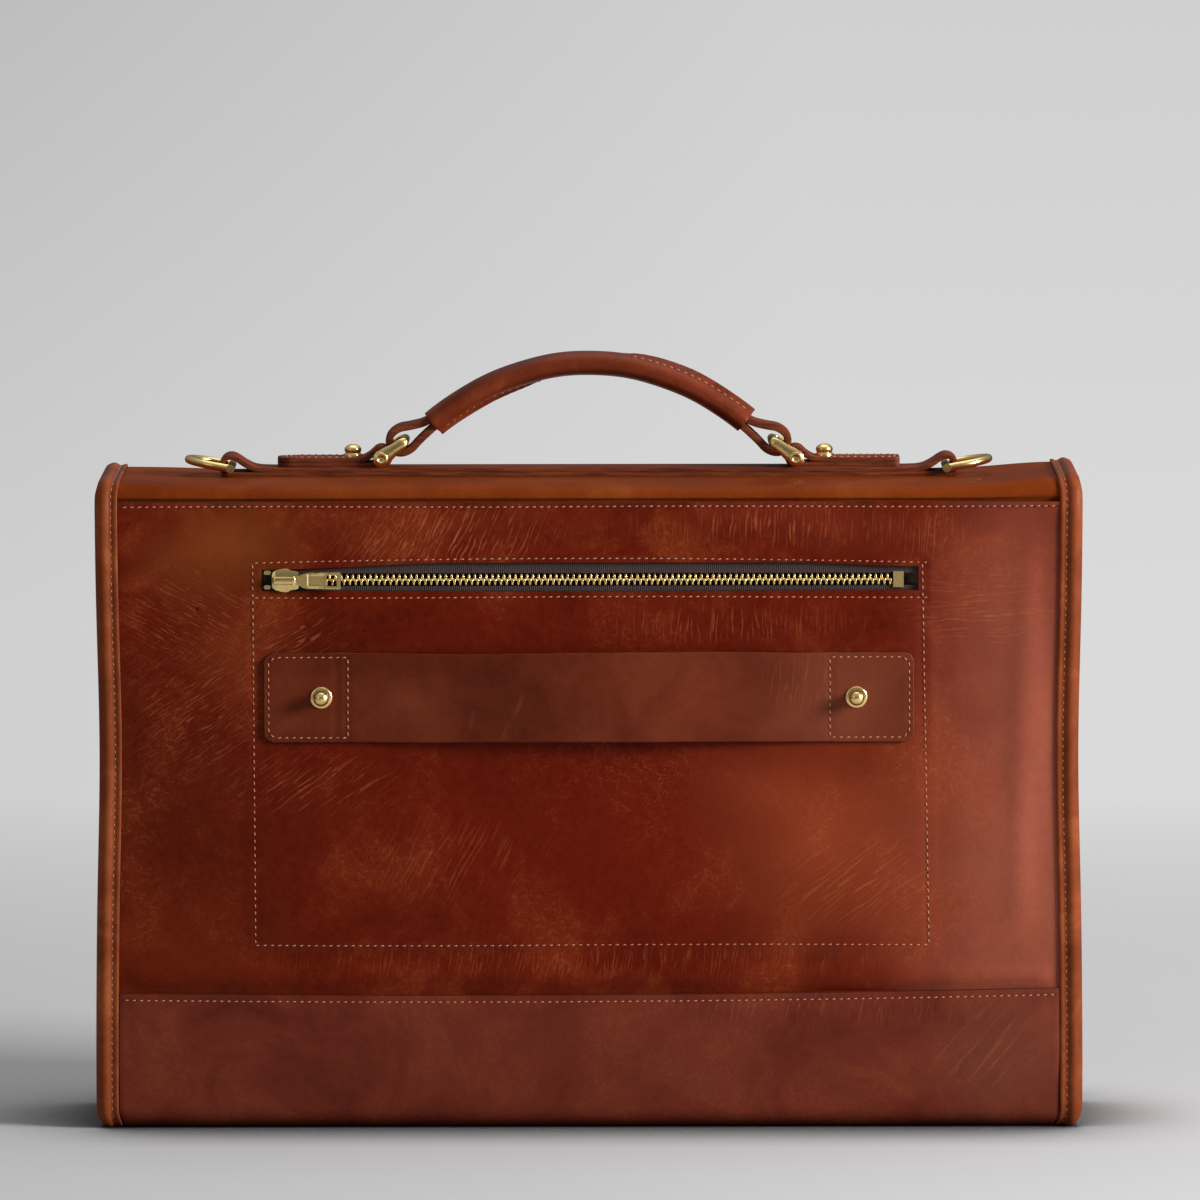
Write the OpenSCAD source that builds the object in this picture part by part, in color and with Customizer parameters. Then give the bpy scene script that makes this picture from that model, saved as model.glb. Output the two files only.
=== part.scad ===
// Soft leather briefcase with a full flap, seen from the back as +X runs to the right.
// +Z is up, the back faces -Y, and the origin lies on the floor under the middle of the box.

/* [Body] */
// Overall width over the edge bindings
body_w = 432; // [400:1:470]
// Height of the top leather above the floor
body_h = 283; // [270:1:320]
// Depth from the back panel's face to the front panel's face
body_d = 100; // [80:1:130]
// Radius of the corners seen from the back
outline_r = 9; // [7:0.5:12]
// Radius where the walls turn into the base
base_turn_r = 12; // [8:0.5:18]
// Radius where the walls turn into the top
top_turn_r = 7; // [6:0.25:7.5]
// Thickness of the main leather
leather_t = 1.8; // [1.4:0.1:2.2]
// Thickness of the gusset leather
gusset_t = 1.5; // [1:0.1:2]
// How far the gusset walls are set in from the binding's outer edge
gusset_inset = 13; // [12:0.5:20]
// How far the gussets and the front panel end below the top leather
mouth_drop = 21; // [21:1:40]
// Height of the seam between the back panel and the top leather
top_seam_drop = 8; // [8:0.5:10]
// Height of the upper edge of the base leather
base_band_h = 60; // [40:1:64]
// Overlap of one leather on the next at a seam
lap = 12; // [8:0.5:14]

/* [Bindings] */
// Width of the binding strip on each face
binding_w = 10; // [8:0.5:12]
// Thickness of the binding strip
binding_t = 1.2; // [0.8:0.1:1.6]

/* [Boards and divider] */
// Thickness of the base board
base_board_t = 3; // [2:0.5:4]
// Thickness of the board under the top leather
top_board_t = 2; // [1.5:0.5:3]
// Margin between a board's end and the gusset
board_margin = 10; // [4:1:16]
// How far the divider ends below the top leather
divider_drop = 51; // [38:1:100]

/* [Zip pocket] */
// Left end of the zip window
zip_x0 = -143; // [-150:1:-135]
// Right end of the zip window
zip_x1 = 144; // [130:1:150]
// How far the middle of the zip lies below the top leather
zip_drop = 42; // [40:1:56]
// Height of the zip window
zip_window_h = 14; // [12:0.5:16]
// Tooth pitch on one tape
tooth_pitch = 2.54; // [2.2:0.02:3]
// Width of one tooth
tooth_w = 1.1; // [0.9:0.05:1.2]
// Width of the closed chain
chain_w = 5.6; // [5:0.1:6.5]
// Thickness of the chain
chain_t = 2.8; // [2:0.1:3]
// Width of each zip tape beyond the chain
tape_w = 12; // [9:0.5:13]
// Thickness of the zip tape
tape_t = 0.8; // [0.5:0.1:1]
// Length of the slider
slider_l = 12; // [10:0.5:14]
// Bare tape left in the window before the slider
zip_lead = 4.5; // [4.3:0.1:6]
// Bare tape left in the window behind the chain
zip_tail = 11; // [9:0.5:14]
// Width of the slider
slider_w = 9.6; // [9:0.2:11]
// Thickness of each slider plate
slider_plate_t = 1.3; // [1:0.1:1.6]
// Length of the pull from its pin
pull_l = 21; // [16:0.5:30]
// Width of the pull
pull_w = 7.4; // [6:0.2:9]
// Depth of the pocket's bag
pouch_d = 9; // [7:0.5:12]
// Thickness of the bag's cloth
pouch_t = 0.8; // [0.6:0.1:1.2]
// Lower edge of the pocket's bag
pouch_z0 = 80; // [74:1:110]

/* [Trolley sleeve] */
// Height of the sleeve
sleeve_h = 39; // [30:1:60]
// How far the middle of the sleeve lies below the middle of the zip
sleeve_drop = 51.5; // [46:0.5:70]
// Half length of the sleeve
sleeve_half = 142; // [130:1:150]
// Half length of the free middle of the sleeve
sleeve_free_half = 105; // [90:1:108]
// How far the middle of the sleeve bows out
sleeve_bow = 6.5; // [5.5:0.25:7]
// Distance of the sleeve's studs from the middle
sleeve_stud_x = 117; // [112:1:124]

/* [Studs] */
// Diameter of a stud's flange
stud_flange_d = 9.8; // [8:0.2:11]
// Thickness of a stud's flange
stud_flange_t = 1; // [0.8:0.1:1.4]
// Diameter of a stud's ball
stud_ball_d = 7.6; // [6:0.2:8]
// Diameter of a stud's shank
stud_shank_d = 4; // [3.6:0.1:4.6]
// Diameter of the screw inside a stud
stud_screw_d = 2.4; // [2:0.1:2.6]

/* [Base strap and rings] */
// Distance of the ring bars from the binding's outer edge
ring_inset = 58.4; // [46:0.2:66]
// Width of the base strap
strap_w = 24; // [20:0.5:28]
// Thickness of one layer of the base strap
strap_layer = 1.9; // [1.6:0.1:2.2]
// Diameter of the rings' wire
ring_wire_d = 3.8; // [3:0.1:4.4]
// Length of the straight legs of a ring
ring_leg = 4.5; // [3:0.5:8]
// Upward tilt of the rings
ring_tilt = 10; // [6:1:20]

/* [Handle] */
// Distance of the shackle pins from the middle
pin_x = 91.2; // [88:0.2:94]
// Diameter of the shackle pins
pin_d = 4; // [3.4:0.1:4.4]
// Width of the handle tabs
tab_w = 20; // [18:0.5:22]
// Thickness of one layer of a handle tab
tab_layer = 2.2; // [1.8:0.1:2.4]
// Outer end of the handle tabs
tab_end_x = 135; // [120:1:140]
// Distance of the tabs' studs from the middle
tab_stud_x = 103; // [102.5:0.5:112]
// Distance from a shackle's pin to its bow
shackle_l = 13.2; // [12.5:0.1:14]
// Lean of the shackles above the level
shackle_lean = 36; // [30:1:40]
// Diameter of a shackle's bow
bow_d = 3.6; // [3:0.1:4]
// Thickness of a shackle's ear
ear_t = 3; // [2:0.1:4]
// Radius of the handle's arc
grip_r = 107; // [104:0.5:112]
// Rise of the middle of the grip's crown above the top leather
grip_rise = 48.3; // [46:0.1:51]
// Thickness of the grip
grip_t = 10; // [9:0.5:12]
// Width of the grip
grip_w = 22; // [20:0.5:26]
// Half angle of the grip on its arc
grip_half_angle = 40; // [36:0.5:41]
// Thickness of the grip's leather
grip_leather_t = 1.5; // [1:0.1:2]
// Width of the strap inside the handle
core_w = 17; // [14:0.5:18]
// Thickness of the strap inside the handle
core_t = 4.4; // [3:0.1:5]
// Length of the eye at each end of the handle
eye_l = 10; // [9:0.5:11]
// Width of the eye at each end of the handle
eye_w = 6; // [5.8:0.1:6.6]
// Thickness of the leather round an eye
eye_t = 2.2; // [1.8:0.1:2.4]

/* [Front pocket and flap] */
// Width of the front pocket
pocket_w = 340; // [260:1:380]
// Depth of the front pocket
pocket_d = 10; // [8:0.5:16]
// Lower edge of the front pocket
pocket_z0 = 70; // [64:1:90]
// How far the front pocket ends below the top leather
pocket_drop = 45; // [33:1:83]
// Corner radius of the front pocket
pocket_r = 12; // [6:1:20]
// Lower edge of the flap
flap_z0 = 108; // [102:1:120]
// Radius of the flap's lower corners
flap_r = 32; // [20:1:45]

/* [Lock] */
// How far the lock's middle lies below the flap's lower edge
lock_drop = 20; // [18:0.5:24]
// Length of the turning bar
toggle_l = 20; // [16:0.5:24]
// Width of the turning bar
toggle_w = 8; // [6:0.5:9]
// Thickness of the turning bar
toggle_t = 4; // [3:0.5:5]
// Diameter of the lock's post
post_d = 6.4; // [5.6:0.2:7]
// Diameter of the turning bar's spindle
spindle_d = 3; // [2:0.1:3.4]
// Thickness of the lock's plates
plate_t = 1.2; // [0.8:0.1:1.6]
// Width of the flap's lock plate
plate_w = 26; // [22:0.5:32]
// Length of the lock's base plate
base_plate_l = 34; // [28:0.5:40]
// Width of the lock's base plate
base_plate_w = 18; // [14:0.5:22]
// Room below the turning bar in the flap's slot, for the flap to swing clear
slot_room = 10; // [9:0.5:12]
// Border of the flap's lock plate beyond its slot
plate_border = 9; // [8:0.5:11]
// How far the flap's lock plate lies over the flap
plate_lap = 22; // [20:0.5:30]
// Corner radius of the flap's lock plate
plate_r = 6; // [3:0.5:9]
// Distance of the plate's rivets from each other
rivet_pitch = 14; // [12:0.5:15]

/* [Fits] */
// Radial clearance of a pin that turns
running_fit = 0.05; // [0.03:0.01:0.08]
// Clearance between pieces that move past each other
gap = 0.3; // [0.25:0.05:0.4]

/* [Hidden] */
$fn = 48;

leather = [0.45, 0.20, 0.10];
dark_leather = [0.36, 0.14, 0.07];
light_leather = [0.55, 0.28, 0.15];
edge_leather = [0.42, 0.24, 0.16];
brass = [0.83, 0.65, 0.33];
cloth = [0.25, 0.15, 0.10];
board = [0.60, 0.52, 0.40];

half_w = body_w / 2;
cavity_x = half_w - gusset_inset;
panel_x = half_w - binding_t;
band_x = half_w - binding_w - 0.2;
lock_gap = 0.6;
stud_ball_rise = stud_ball_d / 2 - 0.4;
stud_h = stud_flange_t + stud_ball_rise + stud_ball_d / 2;
depth_behind = leather_t + stud_h;
depth_ahead = body_d + pocket_d + plate_t + lock_gap + leather_t + plate_t + gap + toggle_t;
back_y = (depth_behind - depth_ahead) / 2;
back_in = back_y + leather_t;
front_y = back_y + body_d;
front_in = front_y - leather_t;
pocket_y = front_y + pocket_d;
flap_in = pocket_y + plate_t + lock_gap;
flap_out = flap_in + leather_t;
mid_y = (back_in + flap_in) / 2;
base_z = binding_t;
seam_z = body_h - top_seam_drop;
hinge_z = seam_z + gap + leather_t / 2;
panel_z0 = base_band_h - lap;
tall = 2 * body_h;
mouth_z = body_h - mouth_drop;
divider_z = body_h - divider_drop;
zip_z = body_h - zip_drop;
sleeve_z = zip_z - sleeve_drop;
ring_x = half_w - ring_inset;
grip_z = body_h + grip_rise;
pocket_z1 = body_h - pocket_drop;

// Outline of the bag seen from the back, drawn smaller by an inset.
module outline(inset) {
  r = outline_r - inset;
  x = half_w - inset;
  z0 = inset;
  z1 = body_h + binding_t - inset;
  rounded_rect(-x, z0, x, z1, r);
}

module rounded_rect(x0, y0, x1, y1, r) {
  translate([x0 + r, y0]) square([x1 - x0 - 2 * r, y1 - y0]);
  translate([x0, y0 + r]) square([x1 - x0, y1 - y0 - 2 * r]);
  for (x = [x0 + r, x1 - r], y = [y0 + r, y1 - r]) translate([x, y]) circle(r);
}

// Stadium along X of a given overall length and width.
module stadium(length, width) {
  square([length - width, width], center = true);
  for (s = [-1, 1]) translate([s * (length - width) / 2, 0]) circle(d = width);
}

// Draws a shape of the XZ plane and gives it a depth between two values of Y.
module along_y(y0, y1) {
  translate([0, y1, 0]) rotate([90, 0, 0]) linear_extrude(y1 - y0) children();
}

// Draws a shape of the YZ plane and gives it a length between two values of X.
module along_x(x0, x1) {
  translate([x0, 0, 0]) rotate([90, 0, 90]) linear_extrude(x1 - x0) children();
}

// Inside of the body's open box in the YZ plane, set in from the leather's outer face.
module body_section(inset) {
  r = base_turn_r - inset;
  y0 = back_y + inset;
  y1 = front_y - inset;
  z0 = base_z + inset;
  translate([y0, z0 + r]) square([y1 - y0, tall]);
  translate([y0 + r, z0]) square([y1 - y0 - 2 * r, r + 1]);
  for (y = [y0 + r, y1 - r]) translate([y, z0 + r]) circle(r);
}

// Wall of the body between two insets, up to one height at the back and one at the front.
module body_wall(inset0, inset1, back_top, front_top) {
  middle = (back_y + front_y) / 2;
  intersection() {
    difference() {
      body_section(inset0);
      body_section(inset1);
    }
    union() {
      translate([middle - body_d, -binding_t]) square([body_d, back_top + binding_t]);
      translate([middle, -binding_t]) square([body_d, front_top + binding_t]);
    }
  }
}

// Inside of the top leather's arch in the YZ plane, set in from its outer face.
module top_section(inset) {
  r = top_turn_r - inset;
  y0 = back_in + inset;
  y1 = flap_in - inset;
  z1 = body_h - inset;
  translate([y0, seam_z + gap]) square([y1 - y0, z1 - r - seam_z - gap]);
  translate([y0 + r, seam_z + gap]) square([y1 - y0 - 2 * r, z1 - seam_z - gap]);
  for (y = [y0 + r, y1 - r]) translate([y, z1 - r]) circle(r);
}

module top_wall(inset0, inset1) {
  intersection() {
    difference() {
      top_section(inset0);
      top_section(inset1);
    }
    translate([back_y - body_d, seam_z + gap]) square([4 * body_d, tall]);
  }
}

// Flap seen from the front, drawn smaller by an inset.
module flap_shape(inset) {
  x = half_w - inset;
  z0 = flap_z0 + inset;
  r = flap_r - inset;
  translate([-x, z0 + r]) square([2 * x, seam_z - z0 - r]);
  translate([-x + r, z0]) square([2 * (x - r), r + 1]);
  for (s = [-1, 1]) translate([s * (x - r), z0 + r]) circle(r);
}

// Back, base and front leathers.

module back_panel() {
  color(leather) difference() {
    translate([-panel_x, back_y, panel_z0 + gap])
      cube([2 * panel_x, leather_t, seam_z - panel_z0 - gap]);
    along_y(back_y - 1, back_in + 1)
      rounded_rect(zip_x0, zip_z - zip_window_h / 2, zip_x1, zip_z + zip_window_h / 2, 3);
    stud_holes(back_y - 1, back_in + 1);
  }
}

module back_seam_hem() {
  color(light_leather) translate([-cavity_x + 0.1, back_in, seam_z - lap])
    cube([2 * cavity_x - 0.2, leather_t, lap]);
}

module bottom_band() {
  color(dark_leather) {
    intersection() {
      along_x(-panel_x, panel_x) body_wall(0, leather_t, panel_z0, panel_z0);
      along_y(back_y - 1, front_y + 1) outline(binding_t);
    }
    for (y = [back_y - leather_t, front_y])
      translate([-band_x, y, panel_z0 - 4]) cube([2 * band_x, leather_t, lap + 4]);
    translate([-band_x, back_y + base_turn_r, 0])
      cube([2 * band_x, body_d - 2 * base_turn_r, base_z + leather_t / 2]);
  }
}

module base_board() {
  x = cavity_x - board_margin;
  y0 = back_y + base_turn_r;
  color(board) translate([-x, y0, base_z + leather_t])
    cube([2 * x, body_d - 2 * base_turn_r, base_board_t]);
}

module front_panel() {
  color(leather) translate([-panel_x, front_in, panel_z0 + gap])
    cube([2 * panel_x, leather_t, mouth_z - panel_z0 - gap]);
}

// One gusset: a wall set in from the edge, with a margin turned out along back, base and front.
module gusset(side) {
  x0 = side > 0 ? cavity_x : -panel_x;
  wall_x0 = side > 0 ? cavity_x : -cavity_x - gusset_t;
  color(leather) intersection() {
    union() {
      along_x(x0, x0 + panel_x - cavity_x)
        body_wall(leather_t, leather_t + gusset_t, mouth_z, mouth_z);
      along_x(wall_x0, wall_x0 + gusset_t) intersection() {
        body_section(leather_t);
        translate([back_y, 0]) square([body_d, mouth_z]);
      }
    }
    along_y(back_y - 1, front_y + 1) outline(binding_t);
  }
}

// Strip folded round the raw edges of a side, from the mouth down and up to the top seam.
module binding(side) {
  x0 = side > 0 ? half_w - binding_w : -half_w;
  slot_x0 = side > 0 ? half_w - binding_w - 1 : -half_w;
  inner = leather_t + gusset_t + binding_t;
  color(light_leather) difference() {
    intersection() {
      along_x(x0, x0 + binding_w) body_wall(-binding_t, inner, seam_z, mouth_z);
      along_y(back_y - 5, front_y + 5) outline(0);
    }
    intersection() {
      along_x(slot_x0, slot_x0 + binding_w + 1)
        body_wall(0, leather_t + gusset_t, seam_z + 1, mouth_z + 1);
      along_y(back_y - 5, front_y + 5) outline(binding_t);
    }
  }
}

module divider() {
  y = (back_in + pouch_d + front_in) / 2;
  z0 = base_z + leather_t + base_board_t;
  color(dark_leather) translate([-cavity_x + 0.1, y - leather_t / 2, z0])
    cube([2 * cavity_x - 0.2, leather_t, divider_z - z0]);
}

module front_pocket() {
  x = pocket_w / 2;
  color(leather) difference() {
    along_y(front_y, pocket_y) intersection() {
      rounded_rect(-x, pocket_z0, x, pocket_z1 + pocket_r, pocket_r);
      translate([-x, pocket_z0]) square([2 * x, pocket_z1 - pocket_z0]);
    }
    along_y(front_y - 1, pocket_y - leather_t)
      rounded_rect(-x + leather_t, pocket_z0 + leather_t, x - leather_t,
        pocket_z1 + 2 * pocket_r, pocket_r - leather_t);
  }
}

// Zip pocket on the back.

tape_x0 = zip_x0 - 4;
tape_x1 = zip_x1 + 4;
slider_x = zip_x0 + zip_lead;
slider_post_l = 2.4;
chain_x0 = slider_x + slider_post_l + 1.6;
chain_x1 = zip_x1 - zip_tail;
chain_y = back_in + tape_t / 2;
spine_h = 1.5;
tooth_reach = chain_w / 2 - spine_h - 0.2;
stop_l = 4.6;
pull_pin_x = slider_x + slider_l - 3;
pull_pin_d = 1.6;
plate_y = chain_y - chain_t / 2 - gap;
pull_pin_y = plate_y - slider_plate_t - 2.1;
knuckle_d = 3.4;
knuckle_w = 4.6;

module pocket_pouch() {
  x0 = tape_x0 - 1 - pouch_t;
  x1 = tape_x1 + 1 + pouch_t;
  z1 = zip_z + chain_w / 2 + tape_w + 1 + pouch_t;
  color(cloth) difference() {
    along_y(back_in, back_in + pouch_d) rounded_rect(x0, pouch_z0, x1, z1, 5);
    along_y(back_in - 1, back_in + pouch_d - pouch_t)
      rounded_rect(x0 + pouch_t, pouch_z0 + pouch_t, x1 - pouch_t, z1 - pouch_t, 5 - pouch_t);
  }
}

module zip_tape(side) {
  z0 = side > 0 ? zip_z + chain_w / 2 : zip_z - chain_w / 2 - tape_w;
  color(cloth) translate([tape_x0, back_in, z0]) cube([tape_x1 - tape_x0, tape_t, tape_w]);
}

// One row of teeth on its spine, worked out from the pitch.
function tooth_points(x, side) = [
  [x - tooth_w / 2, side * (chain_w / 2 - spine_h)],
  [x - tooth_w / 2, -side * tooth_reach],
  [x + tooth_w / 2, -side * tooth_reach],
  [x + tooth_w / 2, side * (chain_w / 2 - spine_h)]
];

module zip_teeth(side) {
  shift = side > 0 ? 0 : tooth_pitch / 2;
  count = floor((chain_x1 - chain_x0 - tooth_pitch) / tooth_pitch);
  row = [for (i = [0 : count - 1]) each tooth_points(chain_x0 + tooth_pitch * (i + 0.5) + shift, side)];
  edge = side * chain_w / 2;
  points = concat([[chain_x0, side * (chain_w / 2 - spine_h)]], row,
    [[chain_x1, side * (chain_w / 2 - spine_h)], [chain_x1, edge], [chain_x0, edge]]);
  color(brass) along_y(chain_y - chain_t / 2, chain_y + chain_t / 2)
    translate([0, zip_z]) polygon(points);
}

module zip_top_stops() {
  color(brass) for (s = [-1, 1])
    along_y(back_in - 1, back_in) translate([slider_x - gap - 1.7, zip_z + s * 3.2]) stadium(3, 1.8);
}

module zip_bottom_stop() {
  color(brass) translate([chain_x1 + 0.1, chain_y - chain_t / 2, zip_z - slider_w / 2 + 1.3])
    cube([stop_l, chain_t / 2 - tape_t / 2, slider_w - 2.6]);
}

// Two plates joined by the post that parts the rows, with flanges along both edges.
module zip_slider() {
  flange_z = chain_w / 2 + gap;
  bite = slider_plate_t / 4;
  flange_y = chain_t / 2 + gap - (tape_t / 2 + gap);
  outer_y = plate_y - slider_plate_t;
  inner_y = chain_y + chain_t / 2 + gap;
  color(brass) {
    for (y = [outer_y, inner_y]) along_y(y, y + slider_plate_t)
      translate([slider_x + slider_l / 2, zip_z]) rounded_rect(-slider_l / 2, -slider_w / 2,
        slider_l / 2, slider_w / 2, 1.5);
    for (s = [-1, 1]) {
      z0 = s > 0 ? flange_z : -slider_w / 2;
      for (y = [plate_y - bite, inner_y - flange_y])
        translate([slider_x + 1.5, y, zip_z + z0])
          cube([slider_l - 3, flange_y + bite, slider_w / 2 - flange_z]);
      translate([pull_pin_x - 1.2, pull_pin_y - pull_pin_d / 2 - 0.4,
          zip_z + (s > 0 ? knuckle_w / 2 + 0.2 : -knuckle_w / 2 - 1.4)])
        cube([2.4, outer_y - pull_pin_y + pull_pin_d / 2 + 0.4 + bite, 1.2]);
    }
    translate([slider_x + 0.4, plate_y - bite, zip_z - 1])
      cube([slider_post_l, inner_y - plate_y + 2 * bite, 2]);
    translate([pull_pin_x, pull_pin_y, zip_z - knuckle_w / 2 - 1])
      cylinder(d = pull_pin_d, h = knuckle_w + 2);
  }
}

module zip_pull() {
  t = 1.6;
  neck = 2.7;
  color(brass) difference() {
    union() {
      translate([pull_pin_x, pull_pin_y, zip_z - knuckle_w / 2]) cylinder(d = knuckle_d, h = knuckle_w);
      along_y(pull_pin_y - t / 2, pull_pin_y + t / 2) translate([pull_pin_x, zip_z]) {
        translate([0, -knuckle_w / 2]) square([neck + 1, knuckle_w]);
        rounded_rect(neck, -pull_w / 2, pull_l, pull_w / 2, 1.2);
      }
    }
    translate([pull_pin_x, pull_pin_y, zip_z - knuckle_w])
      cylinder(d = pull_pin_d + 2 * running_fit, h = 2 * knuckle_w);
  }
}

// Sleeve on the back for the bars of a trolley case, sewn down at both ends.

sleeve_arc_r = (pow(sleeve_free_half, 2) + pow(sleeve_bow, 2)) / (2 * sleeve_bow);

module sleeve_profile() {
  centre = sleeve_arc_r - sleeve_bow;
  for (s = [-1, 1]) translate([s > 0 ? sleeve_free_half - 1 : -sleeve_half, -leather_t])
    square([sleeve_half - sleeve_free_half + 1, leather_t]);
  intersection() {
    difference() {
      translate([0, centre]) circle(sleeve_arc_r + leather_t, $fn = 180);
      translate([0, centre]) circle(sleeve_arc_r, $fn = 180);
    }
    translate([-sleeve_free_half, -sleeve_bow - leather_t - 1])
      square([2 * sleeve_free_half, sleeve_bow + leather_t + 1]);
  }
}

module trolley_sleeve() {
  z0 = sleeve_z - sleeve_h / 2;
  color(dark_leather) difference() {
    intersection() {
      translate([0, back_y, z0]) linear_extrude(sleeve_h) sleeve_profile();
      along_y(back_y - sleeve_bow - 5, back_y + 1)
        rounded_rect(-sleeve_half, z0, sleeve_half, z0 + sleeve_h, 3.5);
    }
    stud_holes(back_y - leather_t - 1, back_y + 1);
  }
}

module stud_holes(y0, y1) {
  along_y(y0, y1) for (s = [-1, 1]) translate([s * sleeve_stud_x, sleeve_z])
    circle(d = stud_shank_d + 2 * running_fit);
}

// Ball stud standing on the plane z = 0, with its shank going down through the leather.
module stud(grip) {
  difference() {
    union() {
      cylinder(d = stud_flange_d, h = stud_flange_t);
      translate([0, 0, stud_flange_t + stud_ball_rise]) sphere(d = stud_ball_d);
      translate([0, 0, -grip]) cylinder(d = stud_shank_d, h = grip + 0.5);
    }
    translate([0, 0, -grip - 1]) cylinder(d = stud_screw_d + 2 * running_fit, h = grip + 1);
  }
}

module stud_screw(grip) {
  translate([0, 0, -grip]) cylinder(d = stud_screw_d, h = grip - 0.2);
  translate([0, 0, -grip - 1]) cylinder(d = stud_flange_d - 1, h = 1);
}

module sleeve_studs() {
  color(brass) for (s = [-1, 1]) translate([s * sleeve_stud_x, back_y - leather_t, sleeve_z])
    rotate([90, 0, 0]) stud(2 * leather_t);
}

module sleeve_stud_screws() {
  color(brass) for (s = [-1, 1]) translate([s * sleeve_stud_x, back_y - leather_t, sleeve_z])
    rotate([90, 0, 0]) stud_screw(2 * leather_t);
}

// Top leather, which swings up with the flap about the back seam.

module top_panel() {
  color(light_leather) difference() {
    intersection() {
      along_x(-panel_x, panel_x) top_wall(0, leather_t);
      along_y(back_y - 5, flap_out + 5) outline(binding_t);
    }
    tab_stud_holes();
  }
}

module top_board() {
  y0 = back_in + top_turn_r + 2;
  x = cavity_x - board_margin;
  color(board) difference() {
    translate([-x, y0, body_h - leather_t - top_board_t])
      cube([2 * x, flap_in - back_in - 2 * top_turn_r - 4, top_board_t]);
    tab_stud_holes();
  }
}

module top_binding(side) {
  x0 = side > 0 ? half_w - binding_w : -half_w;
  slot_x0 = side > 0 ? half_w - binding_w - 1 : -half_w;
  color(light_leather) difference() {
    intersection() {
      along_x(x0, x0 + binding_w) top_wall(-binding_t, leather_t + binding_t);
      along_y(back_y - 5, flap_out + 5) outline(0);
    }
    intersection() {
      along_x(slot_x0, slot_x0 + binding_w + 1) top_wall(0, leather_t);
      along_y(back_y - 5, flap_out + 5) outline(binding_t);
    }
  }
}

// Base strap, rings and handle on the top leather.

strap_z = body_h + 2 * strap_layer;
ring_z = body_h + ring_wire_d / 2 + running_fit + strap_layer;
tab_z = strap_z + 2 * tab_layer;
pin_z = strap_z + pin_d / 2 + running_fit + tab_layer;
bow_x = pin_x - shackle_l * cos(shackle_lean);
bow_z = pin_z + shackle_l * sin(shackle_lean);
ear_y = tab_w / 2 + gap;
ear_pin_r = 3.8;
ear_bow_r = 3;
tab_grip = body_h - leather_t - top_board_t;

module tab_stud_holes() {
  for (s = [-1, 1]) translate([s * tab_stud_x, mid_y, tab_grip - 1])
    cylinder(d = stud_shank_d + 2 * running_fit, h = tab_z - tab_grip + 2);
}

// Loop of leather seen from the side, round a bar at the origin, with its lower layer to the left.
module loop_shape(bar_d, layer) {
  circle(d = bar_d + 2 * running_fit + 2 * layer);
  translate([-layer - bar_d / 2, -bar_d / 2 - running_fit - layer])
    square([layer + bar_d / 2, layer]);
}

module base_strap() {
  upper_x = ring_x - ring_wire_d / 2 - strap_layer / 2;
  color(light_leather) difference() {
    along_y(mid_y - strap_w / 2, mid_y + strap_w / 2) difference() {
      union() {
        translate([-ring_x, body_h]) square([2 * ring_x, strap_layer]);
        translate([-upper_x, body_h]) square([2 * upper_x, 2 * strap_layer]);
        for (s = [-1, 1]) translate([s * ring_x, ring_z]) mirror([s < 0 ? 1 : 0, 0])
          loop_shape(ring_wire_d, strap_layer);
      }
      for (s = [-1, 1]) translate([s * ring_x, ring_z]) circle(d = ring_wire_d + 2 * running_fit);
    }
    tab_stud_holes();
  }
}

// One tab: a leather folded round the shackle's pin, held by a stud.
module handle_tab(side) {
  upper_x = pin_x + pin_d / 2 + tab_layer / 2;
  color(light_leather) difference() {
    mirror([side < 0 ? 1 : 0, 0, 0]) along_y(mid_y - tab_w / 2, mid_y + tab_w / 2) difference() {
      union() {
        translate([pin_x, strap_z]) square([tab_end_x - pin_x, tab_layer]);
        translate([upper_x, strap_z]) square([tab_end_x - upper_x, 2 * tab_layer]);
        translate([pin_x, pin_z]) mirror([1, 0]) loop_shape(pin_d, tab_layer);
      }
      translate([pin_x, pin_z]) circle(d = pin_d + 2 * running_fit);
    }
    tab_stud_holes();
  }
}

module tab_studs() {
  color(brass) for (s = [-1, 1]) translate([s * tab_stud_x, mid_y, tab_z]) stud(tab_z - tab_grip);
}

module tab_stud_screws() {
  color(brass) for (s = [-1, 1]) translate([s * tab_stud_x, mid_y, tab_z]) stud_screw(tab_z - tab_grip);
}

module d_ring(side) {
  r = strap_w / 2 + 0.5 + ring_wire_d / 2;
  bar_r = ring_wire_d / 2;
  wire_r = bar_r - 0.1;
  color(brass) translate([side * ring_x, mid_y, ring_z]) mirror([side < 0 ? 1 : 0, 0, 0])
    rotate([0, -ring_tilt, 0]) {
      translate([0, r + bar_r, 0]) rotate([90, 0, 0]) cylinder(r = bar_r, h = 2 * (r + bar_r));
      for (s = [-1, 1]) translate([0, s * r, 0]) rotate([0, 90, 0]) cylinder(r = wire_r, h = ring_leg);
      translate([ring_leg, 0, 0]) rotate([0, 0, -90])
        rotate_extrude(angle = 180) translate([r, 0]) circle(wire_r);
    }
}

// Clevis: two teardrop ears on the pin, joined by the bow that goes through the handle's eye.
module shackle(side) {
  color(brass) mirror([side < 0 ? 1 : 0, 0, 0]) difference() {
    union() {
      for (y = [mid_y - ear_y - ear_t, mid_y + ear_y]) along_y(y, y + ear_t)
        translate([pin_x, pin_z]) rotate(180 - shackle_lean) {
          circle(ear_pin_r);
          translate([shackle_l, 0]) circle(ear_bow_r);
          polygon([[0, ear_pin_r], [shackle_l, ear_bow_r], [shackle_l, -ear_bow_r], [0, -ear_pin_r]]);
        }
      along_y(mid_y - ear_y - 1, mid_y + ear_y + 1) translate([bow_x, bow_z]) circle(d = bow_d);
    }
    along_y(mid_y - 2 * tab_w, mid_y + 2 * tab_w) translate([pin_x, pin_z]) circle(d = pin_d);
  }
}

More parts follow.
